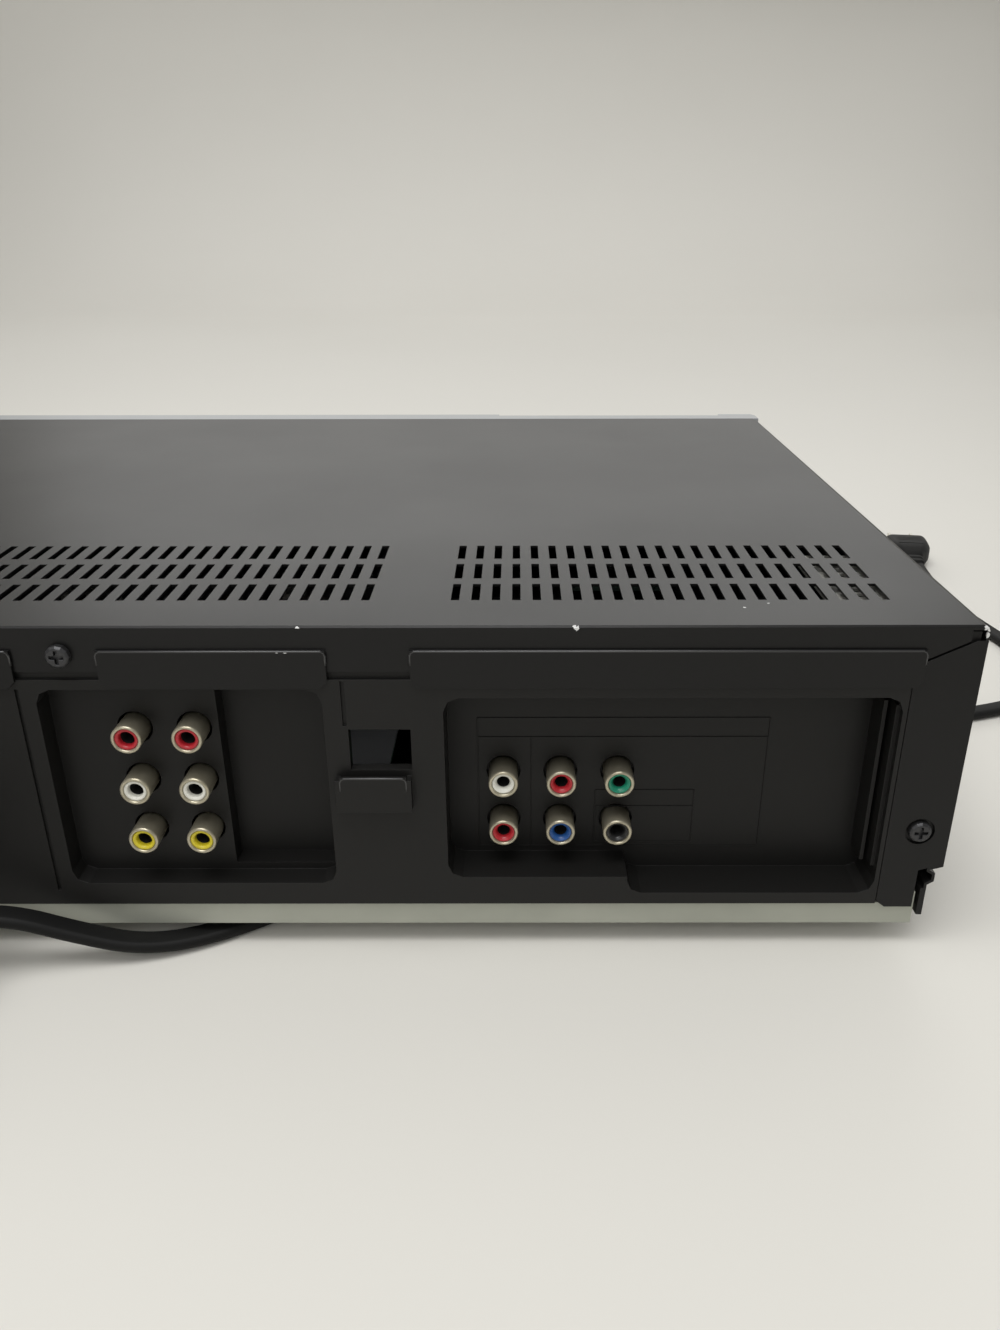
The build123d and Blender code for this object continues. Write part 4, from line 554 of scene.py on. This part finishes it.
for colour, (light, dark) in insert_colours.items():
    insulator = surface("insulator_" + colour, light, dark, 0.34, 0.0010, 0.000006, patch=0.004)
    piece = mesh_piece("insulators_" + colour, *insert_parts[colour], insulator)
    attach(piece, "unit")
    if colour != "black":
        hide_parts("jack_inserts_" + colour)

# moulded blocks that the jacks stand on, behind the rear panel and the fascia
BLOCKS = [(-0.13275, -0.08505, RECESS_FLOOR - 0.014, RECESS_FLOOR - 0.0022, 0.01465, 0.0581),
          (-0.0183, 0.0135, RECESS_FLOOR - 0.014, RECESS_FLOOR - 0.0022, 0.01465, 0.0749),
          (-0.1320, -0.0842, FRONT + 0.0091, FRONT + 0.014, 0.01465, 0.0385)]
block_mesh = bmesh.new()
for x0, x1, y0, y1, z0, z1 in BLOCKS:
    made = bmesh.ops.create_cube(block_mesh, size=1.0)
    for corner in made["verts"]:
        corner.co = Vector(((x0 + x1) / 2 + corner.co.x * (x1 - x0),
                            (y0 + y1) / 2 + corner.co.y * (y1 - y0),
                            (z0 + z1) / 2 + corner.co.z * (z1 - z0)))
bmesh.ops.bevel(block_mesh, geom=block_mesh.edges[:], offset=0.0004, segments=2, affect="EDGES")
block_data = bpy.data.meshes.new("jack_blocks")
block_mesh.to_mesh(block_data)
block_mesh.free()
block_data.materials.append(panel_black)
blocks = bpy.data.objects.new("jack_blocks", block_data)
bpy.context.scene.collection.objects.link(blocks)
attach(blocks, "unit")
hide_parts("jack_housings")

# ---------------------------------------------------------------- front
# The fascia, the tray's door and the cassette door are moulded in grey plastic with a
# lacquered face. A smoked window covers the display, and the caps clip into the fascia.
fascia = surface("fascia_plastic", (0.30, 0.31, 0.32), (0.27, 0.28, 0.29), 0.34, 0.0005, 0.000006, coat=0.1)
for node in ("front_panel", "tray_door", "cassette_door"):
    dress(node, fascia, 0.0003)
smoked = surface("smoked_window", (0.010, 0.010, 0.013), (0.008, 0.008, 0.010), 0.08, 0.002, 0.000002,
                 coat=0.6)
dress("display_window", smoked)
caps = surface("button_caps", (0.42, 0.43, 0.44), (0.38, 0.39, 0.40), 0.30, 0.0006, 0.000005)
for node in ("power_button", "disc_open_button", "rewind_button", "tape_play_button", "fast_forward_button",
             "stop_eject_button"):
    dress(node, caps, 0.0002)

# ---------------------------------------------------------------- disc loader
# Black mouldings carry the tray and the tilting traverse. The gear, pulley, screw and reels
# are pale acetal, the motor, bridge and brackets plated steel, and the rods ground steel.
black_abs = surface("loader_moulding", (0.030, 0.030, 0.032), (0.022, 0.022, 0.024), 0.45, 0.0008, 0.00002)
for node in ("disc_tray", "loader_frame", "traverse_frame", "turntable"):
    dress(node, black_abs)
acetal = surface("natural_acetal", (0.78, 0.76, 0.70), (0.70, 0.67, 0.60), 0.38, 0.0010, 0.00001)
for node in ("tray_gear", "motor_pulley", "disc_clamp", "feed_screw", "supply_reel", "takeup_reel"):
    dress(node, acetal)
plated = surface("plated_steel", (0.56, 0.57, 0.58), (0.46, 0.47, 0.48), 0.34, 0.0012, 0.000006,
                 metal=0.9, patch=0.03)
for node in ("tray_motor", "clamp_bridge", "tape_heads", "pinch_arm", "deck_plate", "holder_carriage",
             "cassette_holder", "holder_brackets"):
    dress(node, plated)
dress("tray_belt", surface("belt_rubber", (0.03, 0.03, 0.03), (0.02, 0.02, 0.02), 0.6, 0.0006, 0.00003))
cast = surface("cast_sled", (0.60, 0.60, 0.61), (0.50, 0.50, 0.52), 0.45, 0.0008, 0.00003, metal=0.9)
dress("pickup_sled", cast)
ground = surface("ground_rod", (0.75, 0.75, 0.76), (0.66, 0.66, 0.68), 0.12, 0.002, 0.000002, metal=1.0)
dress("guide_rods", ground)

# ---------------------------------------------------------------- cassette door spring
# A torsion spring of drawn wire is wound round the cassette door's pin.
SPRING_X, SPRING_LENGTH, SPRING_Y, SPRING_Z = 0.1414, 0.0027, FRONT + 0.0046, 0.0838
SPRING_R, WIRE_R, SPRING_TURNS = 0.00165, 0.0002, 4
steps = SPRING_TURNS * 16
wire_line = []
for i in range(steps + 1):
    angle = math.tau * i / 16
    wire_line.append(Vector((SPRING_X + SPRING_LENGTH * i / steps, SPRING_Y + SPRING_R * math.cos(angle),
                             SPRING_Z + SPRING_R * math.sin(angle))))
wire_rings = []
for i, point in enumerate(wire_line):
    along = (wire_line[min(i + 1, steps)] - wire_line[max(i - 1, 0)]).normalized()
    out = (point - Vector((point.x, SPRING_Y, SPRING_Z))).normalized()
    side = along.cross(out)
    wire_rings.append([point + (out * math.cos(math.tau * k / 8) + side * math.sin(math.tau * k / 8)) * WIRE_R
                       for k in range(8)])
spring = mesh_piece("torsion_spring", *tube_rings(wire_rings), plated)
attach(spring, "flap")
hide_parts("door_spring")

# ---------------------------------------------------------------- cassette deck
# The head drums are turned alloy, the capstan and tape guides turned brass, and the pinch
# roller is a rubber sleeve.
turned_metal = surface("turned_alloy", (0.76, 0.77, 0.78), (0.68, 0.69, 0.70), 0.22, 0.0010, 0.000004, metal=1.0)
for node in ("lower_drum", "upper_drum"):
    dress(node, turned_metal)
brass = surface("turned_brass", (0.62, 0.47, 0.22), (0.50, 0.36, 0.15), 0.25, 0.0010, 0.000004, metal=1.0)
for node in ("capstan", "supply_guide", "takeup_guide"):
    dress(node, brass)
dress("pinch_roller", surface("pinch_rubber", (0.04, 0.04, 0.04), (0.03, 0.03, 0.03), 0.65, 0.0006, 0.00002))

# ---------------------------------------------------------------- boards
# Green laminate boards with their parts stand in the floor moulding, and the tuner sits in
# a galvanised can.
laminate = surface("board_laminate", (0.05, 0.17, 0.09), (0.035, 0.13, 0.07), 0.40, 0.0020, 0.00002, patch=0.01)
for node in ("main_board", "power_board", "key_board"):
    dress(node, laminate)
dress("tuner_can", zinc)

# ---------------------------------------------------------------- table and light
# A pale table that curves up into a backdrop, with soft light from above, from behind the
# machine, and from beyond the fascia, which the cover's top reflects at a low angle.
pale = surface("pale_table", (0.69, 0.675, 0.63), (0.65, 0.635, 0.59), 0.55, 0.004, 0.00002, patch=0.5)
TABLE_NEAR, TABLE_FAR, SWEEP_R, SWEEP_STEPS = 1.9, -1.7, 0.8, 12
SWEEP_HALF, SWEEP_TOP = 2.6, 3.0
sweep_line = [(TABLE_NEAR, 0.0), (TABLE_FAR, 0.0)]
for i in range(1, SWEEP_STEPS + 1):
    angle = math.pi / 2 * i / SWEEP_STEPS
    sweep_line.append((TABLE_FAR - SWEEP_R * math.sin(angle), SWEEP_R - SWEEP_R * math.cos(angle)))
sweep_line.append((TABLE_FAR - SWEEP_R, SWEEP_TOP))
sweep_points = [(x, y, z) for y, z in sweep_line for x in (-SWEEP_HALF, SWEEP_HALF)]
sweep_faces = [(2 * i, 2 * i + 2, 2 * i + 3, 2 * i + 1) for i in range(len(sweep_line) - 1)]
table = mesh_piece("table", sweep_points, sweep_faces, pale)
world = bpy.data.worlds.new("studio")
bpy.context.scene.world = world
world.use_nodes = True
air_nodes, air_links = world.node_tree.nodes, world.node_tree.links
air = air_nodes["Background"]
air.inputs["Color"].default_value = (0.96, 0.95, 0.92, 1.0)
# glossy rays that leave towards the room behind the machine meet a darker room
room = air_nodes.new("ShaderNodeTexCoord")
parts_of_room = air_nodes.new("ShaderNodeSeparateXYZ")
air_links.new(room.outputs["Generated"], parts_of_room.inputs["Vector"])
dim = air_nodes.new("ShaderNodeMapRange")
dim.inputs["From Min"].default_value = -0.25
dim.inputs["From Max"].default_value = 0.35
dim.inputs["To Min"].default_value = 1.0
dim.inputs["To Max"].default_value = 0.13
air_links.new(parts_of_room.outputs["Y"], dim.inputs["Value"])
rays = air_nodes.new("ShaderNodeLightPath")
glossy_level = air_nodes.new("ShaderNodeMix")
glossy_level.inputs["A"].default_value = 0.45
air_links.new(rays.outputs["Is Glossy Ray"], glossy_level.inputs["Factor"])
air_links.new(dim.outputs["Result"], glossy_level.inputs["B"])
level_of_air = air_nodes.new("ShaderNodeMix")
level_of_air.inputs["B"].default_value = 0.80
air_links.new(rays.outputs["Is Camera Ray"], level_of_air.inputs["Factor"])
air_links.new(glossy_level.outputs["Result"], level_of_air.inputs["A"])
air_links.new(level_of_air.outputs["Result"], air.inputs["Strength"])


def softbox(name, place, aim, size, power):
    """A soft square lamp that faces a point."""
    lamp = bpy.data.lights.new(name, "AREA")
    lamp.shape = "RECTANGLE"
    lamp.size, lamp.size_y = size
    lamp.energy = power
    holder = bpy.data.objects.new(name, lamp)
    bpy.context.scene.collection.objects.link(holder)
    holder.location = place
    holder.rotation_euler = (Vector(aim) - Vector(place)).to_track_quat("-Z", "Y").to_euler()
    return holder


softbox("overhead", (0.15, 0.50, 1.6), (-0.05, 0.16, 0.05), (1.2, 0.8), 19.0)
softbox("beyond_fascia", (-0.1, -2.2, 1.25), (-0.05, 0.0, 0.08), (2.6, 1.0), 14.5)
softbox("fill_behind", (0.25, 1.55, 1.15), (-0.05, 0.14, 0.04), (1.4, 0.8), 7.0)
bpy.context.scene.view_settings.view_transform = "Standard"
